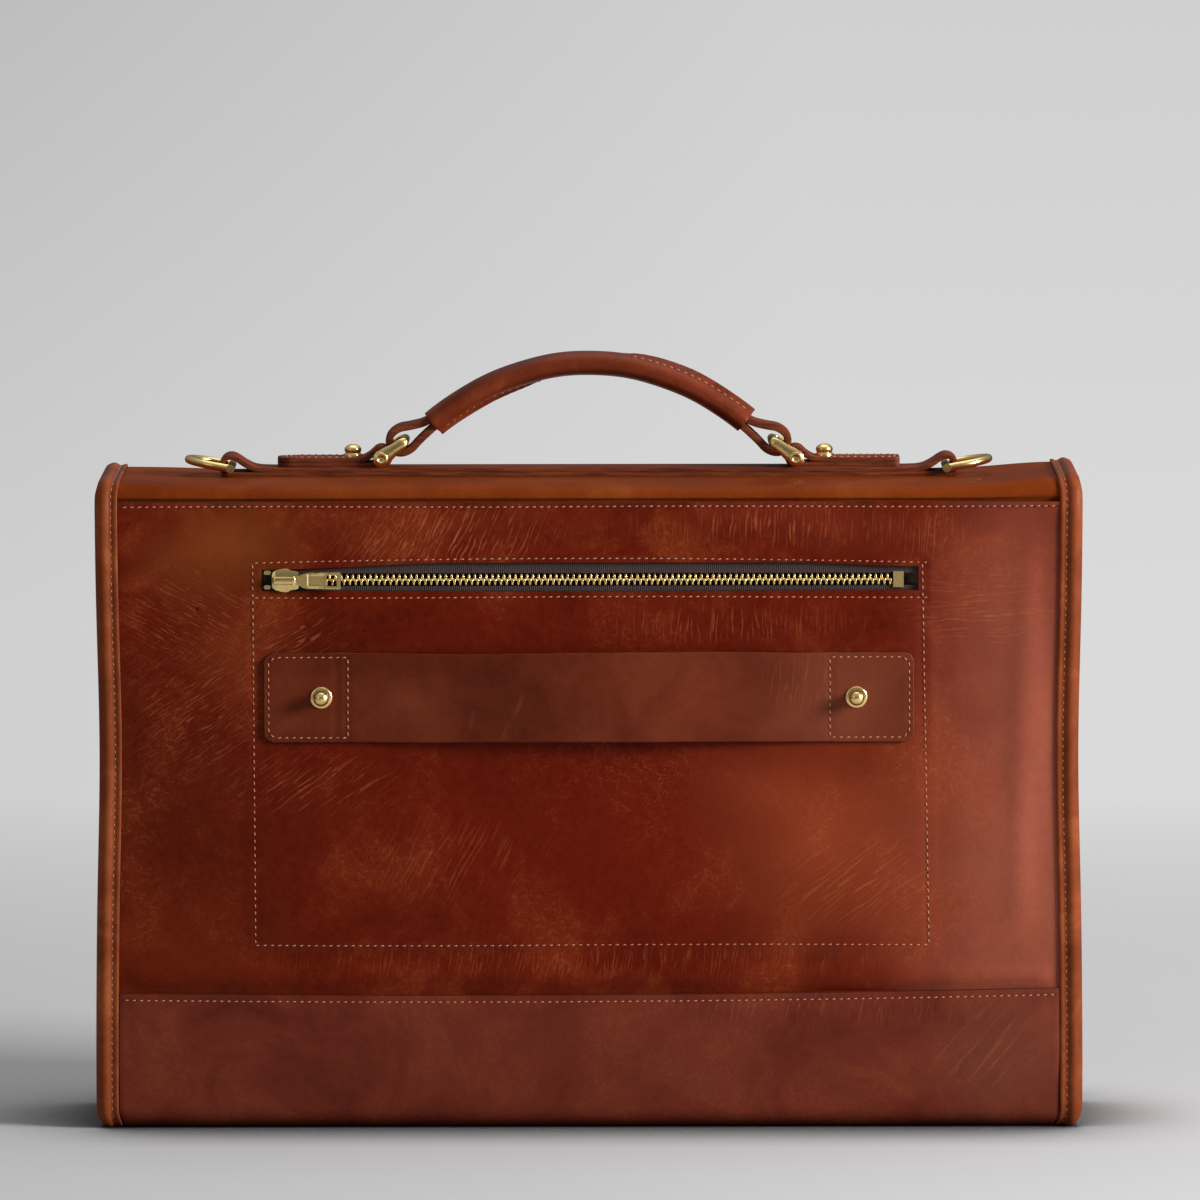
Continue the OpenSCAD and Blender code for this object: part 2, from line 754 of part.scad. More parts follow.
module shackle_pin(side) {
  head_t = 1.4;
  y = ear_y + ear_t;
  color(brass) {
    along_y(mid_y - y, mid_y + y) translate([side * pin_x, pin_z]) circle(d = pin_d);
    for (y0 = [mid_y - y - head_t, mid_y + y]) along_y(y0, y0 + head_t)
      translate([side * pin_x, pin_z]) circle(d = pin_d + 1.8);
  }
}

// Handle on a circular arc in the XZ plane, with an eye at each end that hangs on a bow.
arc_z = grip_z - grip_r;
core_half_angle = grip_half_angle + 1;
eye_u = -1.2;
eye_v = -0.9;

// Turns a section of the handle, drawn as width by thickness, along the arc.
module along_arc(half_angle) {
  translate([0, mid_y, arc_z]) rotate([90, 0, 0]) rotate([0, 0, 90 - half_angle])
    rotate_extrude(angle = 2 * half_angle, $fn = 180) translate([grip_r, 0]) children();
}

module grip_section(inset) {
  t = grip_t / 2 - inset;
  w = grip_w / 2 - inset;
  rounded_rect(-t, -w, t, w, t - 0.2);
}

module core_section() {
  square([core_t, core_w], center = true);
}

// The eye lies along the strap's direction, with the bow a little inside and below its middle.
module eye_place() {
  slope = core_half_angle;
  translate([bow_x, bow_z]) rotate(-slope) translate([-eye_u, -eye_v]) children();
}

module handle_strap() {
  color(light_leather) {
    along_arc(core_half_angle) core_section();
    for (s = [0, 1]) mirror([s, 0, 0])
      along_y(mid_y - core_w / 2, mid_y + core_w / 2) difference() {
        union() {
          eye_place() stadium(eye_l + 2 * eye_t, eye_w + 2 * eye_t);
          neck();
        }
        eye_place() stadium(eye_l, eye_w);
      }
  }
}

// Solid stretch of the strap between the end of the arc and the eye.
module neck() {
  a = 90 - core_half_angle;
  end = [grip_r * cos(a), arc_z + grip_r * sin(a)];
  slope = core_half_angle;
  eye_end = [bow_x, bow_z] + rotated([-eye_u - eye_l / 2 - eye_t / 2, -eye_v], -slope);
  side = rotated([0, core_t / 2 - running_fit], -slope);
  polygon([end + side, eye_end + side, eye_end - side, end - side]);
}

function rotated(p, a) = [p[0] * cos(a) - p[1] * sin(a), p[0] * sin(a) + p[1] * cos(a)];

module handle_filler() {
  color(cloth) along_arc(grip_half_angle - 2) difference() {
    grip_section(grip_leather_t + running_fit);
    core_section();
  }
}

module handle_grip() {
  color(dark_leather) {
    along_arc(grip_half_angle) difference() {
      grip_section(0);
      grip_section(grip_leather_t);
    }
  }
}

// Flap that hangs over the front pocket from the front seam, with the lock's plate below its edge.

lock_slot_w = toggle_w + 3;
lock_z = flap_z0 - lock_drop;
lock_slot_z0 = lock_z - toggle_l / 2 - slot_room;
lock_slot_z1 = lock_z + toggle_l / 2 + 1.5;
plate_z0 = lock_slot_z0 - plate_border;
plate_z1 = flap_z0 + plate_lap;
rivet_d = 3;

module lock_slot() {
  translate([0, (lock_slot_z0 + lock_slot_z1) / 2]) rotate(90)
    stadium(lock_slot_z1 - lock_slot_z0, lock_slot_w);
}

module plate_shape(grow) {
  rounded_rect(-plate_w / 2 - grow, plate_z0 - grow, plate_w / 2 + grow, plate_z1 + grow, plate_r + grow);
}

module rivet_places() {
  for (s = [-1, 1]) translate([s * rivet_pitch / 2, plate_z1 - plate_r]) children();
}

module flap_panel() {
  color(leather) difference() {
    along_y(flap_in, flap_out) flap_shape(binding_t);
    along_y(flap_in - 1, flap_out + 1) rivet_places() circle(d = rivet_d + 2 * running_fit);
  }
}

module flap_hem() {
  color(light_leather) translate([-band_x, flap_in - leather_t, seam_z - lap])
    cube([2 * band_x, leather_t, lap]);
}

module flap_binding() {
  color(light_leather) difference() {
    along_y(flap_in - binding_t, flap_out + binding_t) difference() {
      flap_shape(0);
      translate([0, 0.01]) flap_shape(binding_w);
    }
    along_y(flap_in, flap_out) translate([0, 0.01]) flap_shape(binding_t);
    along_y(flap_out, flap_out + binding_t + 1) plate_shape(gap);
  }
}

module lock_plate() {
  color(brass) along_y(flap_out, flap_out + plate_t) difference() {
    plate_shape(0);
    lock_slot();
    rivet_places() circle(d = rivet_d + 2 * running_fit);
  }
}

module lock_plate_rivets() {
  color(brass) {
    along_y(flap_in, flap_out + plate_t) rivet_places() circle(d = rivet_d);
    along_y(flap_out + plate_t, flap_out + plate_t + 0.8) rivet_places() circle(d = rivet_d + 1.6);
  }
}

toggle_y = flap_out + plate_t + gap;

module lock_base() {
  color(brass) difference() {
    union() {
      along_y(pocket_y, pocket_y + plate_t) translate([0, lock_z]) rotate(90)
        stadium(base_plate_l, base_plate_w);
      along_y(pocket_y, toggle_y - 0.1) translate([0, lock_z]) circle(d = post_d);
    }
    along_y(pocket_y + plate_t, toggle_y + 1) translate([0, lock_z])
      circle(d = spindle_d + 2 * running_fit);
  }
}

module lock_toggle() {
  color(brass) {
    along_y(toggle_y, toggle_y + toggle_t) translate([0, lock_z]) rotate(90) stadium(toggle_l, toggle_w);
    along_y(pocket_y + plate_t + 0.1, toggle_y + 0.5) translate([0, lock_z]) circle(d = spindle_d);
  }
}

back_panel();
back_seam_hem();
bottom_band();
base_board();
front_panel();
front_pocket();
gusset(-1);  // gusset_left
gusset(1);  // gusset_right
binding(-1);  // binding_left
binding(1);  // binding_right
divider();
pocket_pouch();
zip_tape(1);  // zip_tape_upper
zip_tape(-1);  // zip_tape_lower
zip_teeth(1);  // zip_teeth_upper
zip_teeth(-1);  // zip_teeth_lower
zip_top_stops();
zip_bottom_stop();
zip_slider();
zip_pull();
trolley_sleeve();
sleeve_studs();
sleeve_stud_screws();
lock_base();
lock_toggle();
top_panel();
top_board();
top_binding(-1);  // top_binding_left
top_binding(1);  // top_binding_right
base_strap();
handle_tab(-1);  // handle_tab_left
handle_tab(1);  // handle_tab_right
tab_studs();
tab_stud_screws();
flap_panel();
flap_hem();
flap_binding();
lock_plate();
lock_plate_rivets();
d_ring(-1);  // d_ring_left
d_ring(1);  // d_ring_right
shackle(-1);  // shackle_left
shackle(1);  // shackle_right
shackle_pin(-1);  // shackle_pin_left
shackle_pin(1);  // shackle_pin_right
handle_strap();
handle_filler();
handle_grip();
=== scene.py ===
"""Soft leather briefcase seen from its back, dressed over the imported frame.

Sizes are written in millimetres and turned to metres where a mesh gets its points.
"""

import logging
import math
from collections.abc import Callable, Sequence
from dataclasses import dataclass
from enum import Enum

import bpy
import numpy as np
from bpy.types import Material, Node, NodeSocket, NodeTree, Object
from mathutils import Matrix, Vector


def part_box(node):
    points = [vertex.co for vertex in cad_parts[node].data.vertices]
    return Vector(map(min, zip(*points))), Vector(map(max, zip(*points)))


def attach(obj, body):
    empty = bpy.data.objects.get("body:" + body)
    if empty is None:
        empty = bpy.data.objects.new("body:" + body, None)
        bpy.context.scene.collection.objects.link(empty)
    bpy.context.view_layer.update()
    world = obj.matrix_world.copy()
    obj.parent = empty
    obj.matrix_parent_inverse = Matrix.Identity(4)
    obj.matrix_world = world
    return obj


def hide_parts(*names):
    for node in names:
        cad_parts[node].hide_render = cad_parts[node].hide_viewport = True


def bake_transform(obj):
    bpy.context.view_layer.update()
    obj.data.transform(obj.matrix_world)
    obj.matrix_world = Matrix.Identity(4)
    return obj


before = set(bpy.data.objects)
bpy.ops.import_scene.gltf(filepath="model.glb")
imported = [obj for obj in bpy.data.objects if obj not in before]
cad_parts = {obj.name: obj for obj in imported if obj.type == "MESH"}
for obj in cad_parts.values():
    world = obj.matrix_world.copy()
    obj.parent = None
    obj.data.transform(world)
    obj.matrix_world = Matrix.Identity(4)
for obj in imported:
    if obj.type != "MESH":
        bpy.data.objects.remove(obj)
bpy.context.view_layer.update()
LOG = logging.getLogger("briefcase")
MM = 0.001
Array = np.ndarray
Surface = Callable[[Array, Array], Array]
Line = Sequence[Sequence[float]] | Array
Inputs = dict[str | int, object] | Sequence[object]


@dataclass(frozen=True)
class Plan:
    """The bag's own planes and heights, shared by all its pieces."""

    half_w: float = 216.0
    panel_x: float = 214.8
    back_y: float = -54.55
    back_in: float = -52.75
    front_y: float = 45.45
    flap_in: float = 57.25
    flap_out: float = 59.05
    flap_z: float = 108.0
    flap_corner: float = 32.0
    mid_y: float = 2.25
    base_z: float = 1.2
    mouth_z: float = 262.0
    seam_z: float = 275.0
    top_z: float = 283.0
    base_turn: float = 7.5
    top_turn: float = 7.0
    binding_w: float = 10.0
    binding_t: float = 1.2
    pitch: float = 3.2


PLAN = Plan()


class Hand(Enum):
    """Side of the bag, as seen from the back."""

    LEFT = -1
    RIGHT = 1

    @property
    def side(self) -> str:
        """The side's word in the names of pieces."""
        return self.name.lower()


def ease(value: Array, low: float, high: float) -> Array:
    """Smooth step from 0 at low to 1 at high."""
    t = np.clip((np.asarray(value, float) - low) / (high - low), 0, 1)
    return t * t * (3 - 2 * t)


def hump(value: Array, centre: float, width: float) -> Array:
    """Bell curve of height 1 round a centre."""
    return np.exp(-(((np.asarray(value, float) - centre) / width) ** 2))


def in_box(x: Array, z: Array, box: Sequence[float], soft: float) -> Array:
    """Mask that is 1 inside a box of low x, high x, low z and high z, and falls softly to 0 outside it."""
    inside = np.minimum(np.minimum(x - box[0], box[1] - x), np.minimum(z - box[2], box[3] - z))
    return ease(inside, -soft, 0)


def sway(z: Array) -> Array:
    """How far the soft sides are drawn in at a height, in mm."""
    return 1.8 * hump(z, 165, 60) - 0.2 * hump(z, 26, 36) + 3.0 * (1 - ease(z, -3, 8))


def side_x(x: Array, z: Array) -> Array:
    """Moves places near the sides inwards as the soft leather does."""
    return x - np.sign(x) * sway(z) * ease(np.abs(x), 150, 206)


def top_lift(x: Array, z: Array) -> Array:
    """How far the top leather stands up at its ends, in mm."""
    rise = 2.2 * ease(x, 165, 206) + 0.5 * ease(-x, 165, 206)
    return rise * ease(z, 272, 283)


def corner_inset(z: Array) -> Array:
    """How far the bindings lean inwards where they turn over the top, in mm."""
    return 1.5 * ease(z, 277, 285)


def columns(*parts: Array | float) -> Array:
    """Points from their coordinates, each a list or one number for all."""
    return np.column_stack(np.broadcast_arrays(*parts))


def unit(rows: Array) -> Array:
    """Directions brought to length 1."""
    return rows / np.linalg.norm(rows, axis=1, keepdims=True)


def lengths(line: Line) -> Array:
    """Length of a polyline up to each of its points."""
    steps = np.linalg.norm(np.diff(np.asarray(line, float), axis=0), axis=1)
    return np.concatenate([[0], np.cumsum(steps)])


def resample(line: Line, count: int) -> Array:
    """Spreads points evenly along a polyline.

    Args:
        line: The polyline's corners.
        count: How many points to return.

    Returns:
        An array of evenly spaced points.
    """
    steps = lengths(line)
    places = np.linspace(0, steps[-1], count)
    return np.stack([np.interp(places, steps, column) for column in np.asarray(line, float).T], axis=1)


def read_along(path: Array, share: Array) -> Array:
    """Reads numbers or points between the steps of a list.

    Args:
        path: The numbers or points.
        share: Where to read, from 0 at the first to 1 at the last.

    Returns:
        What stands there.
    """
    steps = np.linspace(0, 1, len(path))
    if path.ndim == 1:
        return np.interp(share, steps, path)
    return np.stack([np.interp(share, steps, column) for column in path.T], axis=1)


def stretches(start: float, *parts: tuple[float, int]) -> Array:
    """Rising numbers in stretches.

    Args:
        start: The first number.
        parts: For each stretch its last number and its count of steps.

    Returns:
        All the numbers.
    """
    places = [np.array([start])]
    for end, steps in parts:
        places.append(np.linspace(places[-1][-1], end, steps + 1)[1:])
    return np.concatenate(places)


def arc(cx: float, cy: float, radius: float, start: float, end: float, steps: int = 14) -> list[tuple[float, float]]:
    """Points of an arc between two angles in degrees."""
    angles = np.radians(np.linspace(start, end, steps))
    return [(cx + radius * math.cos(a), cy + radius * math.sin(a)) for a in angles]


def rounded(points: Line, times: int = 3) -> Array:
    """Rounds a polyline's corners by cutting them a few times.

    Args:
        points: The polyline's corners.
        times: How often each corner is cut.

    Returns:
        The rounded polyline, with its ends kept.
    """
    line = np.asarray(points, float)
    for _ in range(times):
        near = 0.75 * line[:-1] + 0.25 * line[1:]
        far = 0.25 * line[:-1] + 0.75 * line[1:]
        line = np.vstack([line[:1], np.stack([near, far], axis=1).reshape(-1, line.shape[1]), line[-1:]])
    return line


def box_mm(node: str) -> list[Array]:
    """Low and high corner of a node's box in mm."""
    return [np.array(corner) * 1000 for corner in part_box(node)]


def activate(piece: Object) -> None:
    """Selects one object and nothing else."""
    bpy.ops.object.select_all(action="DESELECT")
    piece.select_set(True)
    bpy.context.view_layer.objects.active = piece


def edit_all(piece: Object, step: Callable[..., object], **settings: object) -> None:
    """Runs an edit operator on the whole of a mesh.

    Args:
        piece: The mesh.
        step: The operator.
        settings: The operator's settings.
    """
    activate(piece)
    bpy.ops.object.mode_set(mode="EDIT")
    bpy.ops.mesh.select_all(action="SELECT")
    step(**settings)
    bpy.ops.object.mode_set(mode="OBJECT")


def apply_modifier(piece: Object, kind: str, **settings: object) -> None:
    """Adds a modifier and applies it.

    Args:
        piece: The mesh.
        kind: Blender's name of the modifier.
        settings: The modifier's settings.
    """
    modifier = piece.modifiers.new(kind.title(), kind)
    for key, value in settings.items():
        setattr(modifier, key, value)
    activate(piece)
    bpy.ops.object.modifier_apply(modifier=modifier.name)


def bevel_edges(piece: Object, width: float, segments: int) -> None:
    """Rounds a mesh's sharp edges, by a width in its own units."""
    limit = math.radians(50)
    apply_modifier(piece, "BEVEL", width=width, segments=segments, limit_method="ANGLE", angle_limit=limit)


def read_points(piece: Object) -> Array:
    """A mesh's points as an array, in its own units."""
    flat = np.empty(len(piece.data.vertices) * 3)
    piece.data.vertices.foreach_get("co", flat)
    return flat.reshape(-1, 3)


def write_points(piece: Object, points: Array) -> None:
    """Gives a mesh its points in mm."""
    piece.data.vertices.foreach_set("co", (np.asarray(points) * MM).ravel())
    piece.data.update()


def cut_faces(piece: Object, test: Callable[[Array], Array]) -> None:
    """Deletes the faces whose centres pass a test.

    Args:
        piece: The mesh to cut.
        test: Takes the centres and returns which of them go.
    """
    chosen = test(np.array([face.center for face in piece.data.polygons]))
    activate(piece)
    bpy.ops.object.mode_set(mode="EDIT")
    bpy.ops.mesh.select_mode(type="FACE")
    bpy.ops.mesh.select_all(action="DESELECT")
    bpy.ops.object.mode_set(mode="OBJECT")
    piece.data.polygons.foreach_set("select", chosen)
    bpy.ops.object.mode_set(mode="EDIT")
    bpy.ops.mesh.delete(type="FACE")
    bpy.ops.object.mode_set(mode="OBJECT")


def make_sheet(
    name: str,
    surface: Surface,
    cells: tuple[int, int],
    skins: Sequence[Material],
    thickness: float,
    facing: Sequence[float] | None = None,
    probe: tuple[float, float] = (0.5, 0.5),
    bevel: float = 0.35,
    offset: float = -1.0,
    closed: bool = False,
    window: Callable[[Array], Array] | None = None,
) -> Object:
    """Shapes a grid into a sheet of leather or cloth with a real thickness.

    Args:
        name: Name of the piece.
        surface: Gives places in mm for u and v from 0 to 1.
        cells: Cells of the grid along u and v.
        skins: Material of the faces, then of the cut edges.
        thickness: Thickness in mm.
        facing: Direction that the outer face looks in at the probe.
        probe: Place of u and v where facing is tested.
        bevel: Rounding of the cut edges in mm.
        offset: Where the thickness goes, -1 inwards and 0 to both sides.
        closed: Joins the sheet's first and last rows.
        window: Tells which cell centres are cut out, on the grid from -1 to 1.

    Returns:
        The finished piece, at the origin.
    """
    bpy.ops.object.select_all(action="DESELECT")
    bpy.ops.mesh.primitive_grid_add(x_subdivisions=cells[0], y_subdivisions=cells[1], size=2)
    piece = bpy.context.active_object
    piece.name = piece.data.name = name
    for skin in skins:
        piece.data.materials.append(skin)
    if window is not None:
        cut_faces(piece, window)
    grid = read_points(piece)
    u, v = (grid[:, 0] + 1) / 2, (grid[:, 1] + 1) / 2
    if facing is not None:
        step = 0.004
        at, right, up = surface(*(np.array(probe) + ((0, 0), (step, 0), (0, step))).T)
        if np.dot(np.cross(right - at, up - at), np.asarray(facing, float)) < 0:
            u = 1 - u
    write_points(piece, surface(u, v))
    if closed:
        edit_all(piece, bpy.ops.mesh.remove_doubles, threshold=0.00001)
    if thickness:
        solid = {"thickness": thickness * MM, "offset": offset, "use_even_offset": True}
        apply_modifier(piece, "SOLIDIFY", **solid, material_offset_rim=len(skins) - 1)
    if thickness and bevel:
        bevel_edges(piece, bevel * MM, 2)
    activate(piece)
    bpy.ops.object.shade_smooth_by_angle(angle=math.radians(42))
    return piece


def make_tube(
    name: str,
    line: Array,
    sides: Line | Sequence[float],
    ups: Line | Sequence[float],
    halves: Line | Sequence[float],
    skins: Sequence[Material],
    round_steps: int = 24,
    power: float = 1.0,
) -> Object:
    """Draws a closed bar with an oval section along a line.

    Args:
        name: Name of the piece.
        line: The bar's middle in mm, one point for each section.
        sides: Direction of the oval's first half width, for each section or for all.
        ups: Direction of its second half width.
        halves: Both half widths in mm.
        skins: Its materials.
        round_steps: Points round the section.
        power: Below 1 the oval gets squarer.

    Returns:
        The piece, closed at both ends.
    """
    ends = np.array([0, *range(len(line)), len(line) - 1])
    shapes = ((line, 3), (sides, 3), (ups, 3), (halves, 2))
    tracks = [np.broadcast_to(np.array(k, float), (len(line), wide))[ends] for k, wide in shapes]
    tracks[3][[0, -1]] = 0.001

    def place(u: Array, v: Array) -> Array:
        """The bar's face."""
        p, a, b, w = (read_along(track, v) for track in tracks)
        c, s = (np.sign(k) * np.abs(k) ** power for k in (np.cos(u * math.tau), np.sin(u * math.tau)))
        return p + a * (w[:, 0] * c)[:, None] + b * (w[:, 1] * s)[:, None]

    facing = tracks[1][len(line) // 2 + 1]
    return make_sheet(name, place, (round_steps, len(ends) - 1), skins, 0, facing, (0.0, 0.5), closed=True)


def turn_on_lathe(
    name: str, profile: Line, centre: Sequence[float], axis: Sequence[float], skins: Sequence[Material]
) -> Object:
    """Turns a profile round an axis into a closed solid.

    Args:
        name: Name of the piece.
        profile: Radius and height of each point in mm, from one end of the axis to the other.
        centre: Where the height is 0.
        axis: Direction of the axis.
        skins: Its materials.

    Returns:
        The piece.
    """
    way = Vector(axis).normalized()
    side = way.orthogonal().normalized()
    radius, height = np.array(profile).T
    line = np.array(centre) + np.outer(height, way)
    return make_tube(name, line, side, way.cross(side), columns(radius, radius), skins, 32)


def join_pieces(name: str, pieces: Sequence[Object]) -> Object:
    """Joins loose shells.

    Args:
        name: Name of the piece that they become.
        pieces: The shells.

    Returns:
        The piece.
    """
    bpy.ops.object.select_all(action="DESELECT")
    for piece in pieces:
        piece.select_set(True)
    bpy.context.view_layer.objects.active = pieces[0]
    bpy.ops.object.join()
    made = bpy.context.active_object
    made.name = made.data.name = name
    return made


@dataclass
class Pattern:
    """A small shape that is repeated many times."""

    points: Array
    faces: list[tuple[int, ...]]
    skin: int = 0

    @classmethod
    def taken(cls, piece: Object) -> "Pattern":
        """Takes an object's shape and deletes the object.

        Args:
            piece: The object.

        Returns:
            Its shape, in its own units.
        """
        made = cls(read_points(piece), [tuple(face.vertices) for face in piece.data.polygons])
        bpy.data.objects.remove(piece)
        return made


def repeat(
    name: str, patterns: Sequence[Pattern], places: Sequence[Sequence[Array]], skins: Sequence[Material]
) -> Object:
    """Copies patterns to many places and gathers them in one mesh.

    Args:
        name: Name of the piece.
        patterns: One pattern for each set of places.
        places: For each pattern its origins, X directions and Z directions.
        skins: The piece's materials.

    Returns:
        The piece, at the origin.
    """
    points, faces, index = [], [], []
    start = 0
    for pattern, (origin, along, up) in zip(patterns, places, strict=True):
        x_axis = unit(along)
        y_axis = unit(np.cross(up, x_axis))
        turned = np.stack([x_axis, y_axis, np.cross(x_axis, y_axis)], axis=1)
        made = origin[:, None, :] + np.einsum("pk,nkc->npc", pattern.points, turned)
        points.append(made.reshape(-1, 3))
        for base in range(start, start + len(points[-1]), len(pattern.points)):
            faces.extend(tuple(base + i for i in face) for face in pattern.faces)
        index.extend([pattern.skin] * (len(origin) * len(pattern.faces)))
        start += len(points[-1])
    mesh = bpy.data.meshes.new(name)
    mesh.from_pydata((np.vstack(points) * MM).tolist(), [], faces)
    for skin in skins:
        mesh.materials.append(skin)
    mesh.polygons.foreach_set("material_index", np.array(index, np.int32))
    mesh.polygons.foreach_set("use_smooth", np.ones(len(faces), bool))
    piece = bpy.data.objects.new(name, mesh)
    bpy.context.scene.collection.objects.link(piece)
    return piece


def seat(piece: Object, body: str, slot: str, *nodes: str) -> None:
    """Lets a piece ride on a body in place of the nodes it stands for.

    Args:
        piece: The finished piece.
        body: Name of the body it moves with.
        slot: Not used.
        nodes: The nodes that it replaces.
    """
    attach(piece, body)
    if nodes:
        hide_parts(*nodes)
    LOG.info("%s rides on %s", piece.name, body)


@dataclass(frozen=True)
class Hinge:
    """A bend in the leather between two bodies, from one place in mm to another."""

    bodies: tuple[str, str]
    start: tuple[float, float, float]
    end: tuple[float, float, float]
    slot: str

    def take(self, piece: Object, *nodes: str) -> None:
        """Bakes a piece's placement into its mesh and hides the nodes it stands for.

        Args:
            piece: The finished piece.
            nodes: The nodes that it replaces.
        """
        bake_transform(piece)
        if nodes:
            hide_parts(*nodes)
        LOG.info("%s bends between %s and %s", piece.name, *self.bodies)


def paint(code: str) -> tuple[float, float, float, float]:
    """Turns an sRGB hex value to the linear colour that a shader reads."""
    parts = [int(code[k : k + 2], 16) / 255 for k in (1, 3, 5)]
    return (*(c / 12.92 if c <= 0.04045 else ((c + 0.055) / 1.055) ** 2.4 for c in parts), 1.0)


class Nodes:
    """A node tree that a finish is drawn in."""

    def __init__(self, tree: NodeTree) -> None:
        """Empties a tree and holds it."""
        self.tree = tree
        tree.nodes.clear()

    def feed(self, node: Node, inputs: Inputs) -> None:
        """Gives a node's inputs their values, or links them to other nodes.

        Args:
            node: The node.
            inputs: Values and output sockets, by the inputs' names or numbers or in their own order.
        """
        for key, value in inputs.items() if isinstance(inputs, dict) else enumerate(inputs):
            if isinstance(value, NodeSocket):
                self.tree.links.new(value, node.inputs[key])
            else:
                node.inputs[key].default_value = value

    def add(self, kind: str, inputs: Inputs = (), out: int | str = 0, **settings: object) -> NodeSocket | None:
        """Adds a node.

        Args:
            kind: Blender's name of the node, after its ShaderNode.
            inputs: What its inputs get.
            out: Name or number of the output that is wanted.
            settings: The node's own settings.

        Returns:
            That output, if the node has any.
        """
        made = self.tree.nodes.new(f"ShaderNode{kind}")
        for key, value in settings.items():
            setattr(made, key, value)
        self.feed(made, inputs)
        return made.outputs[out] if made.outputs else None


def start_material(name: str) -> tuple[Material, Nodes, NodeSocket, Node]:
    """Starts a material with one surface shader.

    Args:
        name: Name of the material.

    Returns:
        The material, its nodes, its places in metres and its shader.
    """
    made = bpy.data.materials.new(name)
    made.use_nodes = True
    nodes = Nodes(made.node_tree)
    surface = nodes.add("BsdfPrincipled")
    nodes.add("OutputMaterial", (surface,))
    return made, nodes, nodes.add("TexCoord", out="Object"), surface.node


@dataclass(frozen=True)
class Zone:
    """A soft-edged oval on the XZ plane, in mm."""

    x: float
    z: float
    rx: float
    rz: float
    strength: float
    tint: str = ""


@dataclass(frozen=True)
class Crease:
    """A family of fine creases that run one way inside an oval."""

    zone: Zone
    lean: float
    spacing: float
    run: float
    width: float


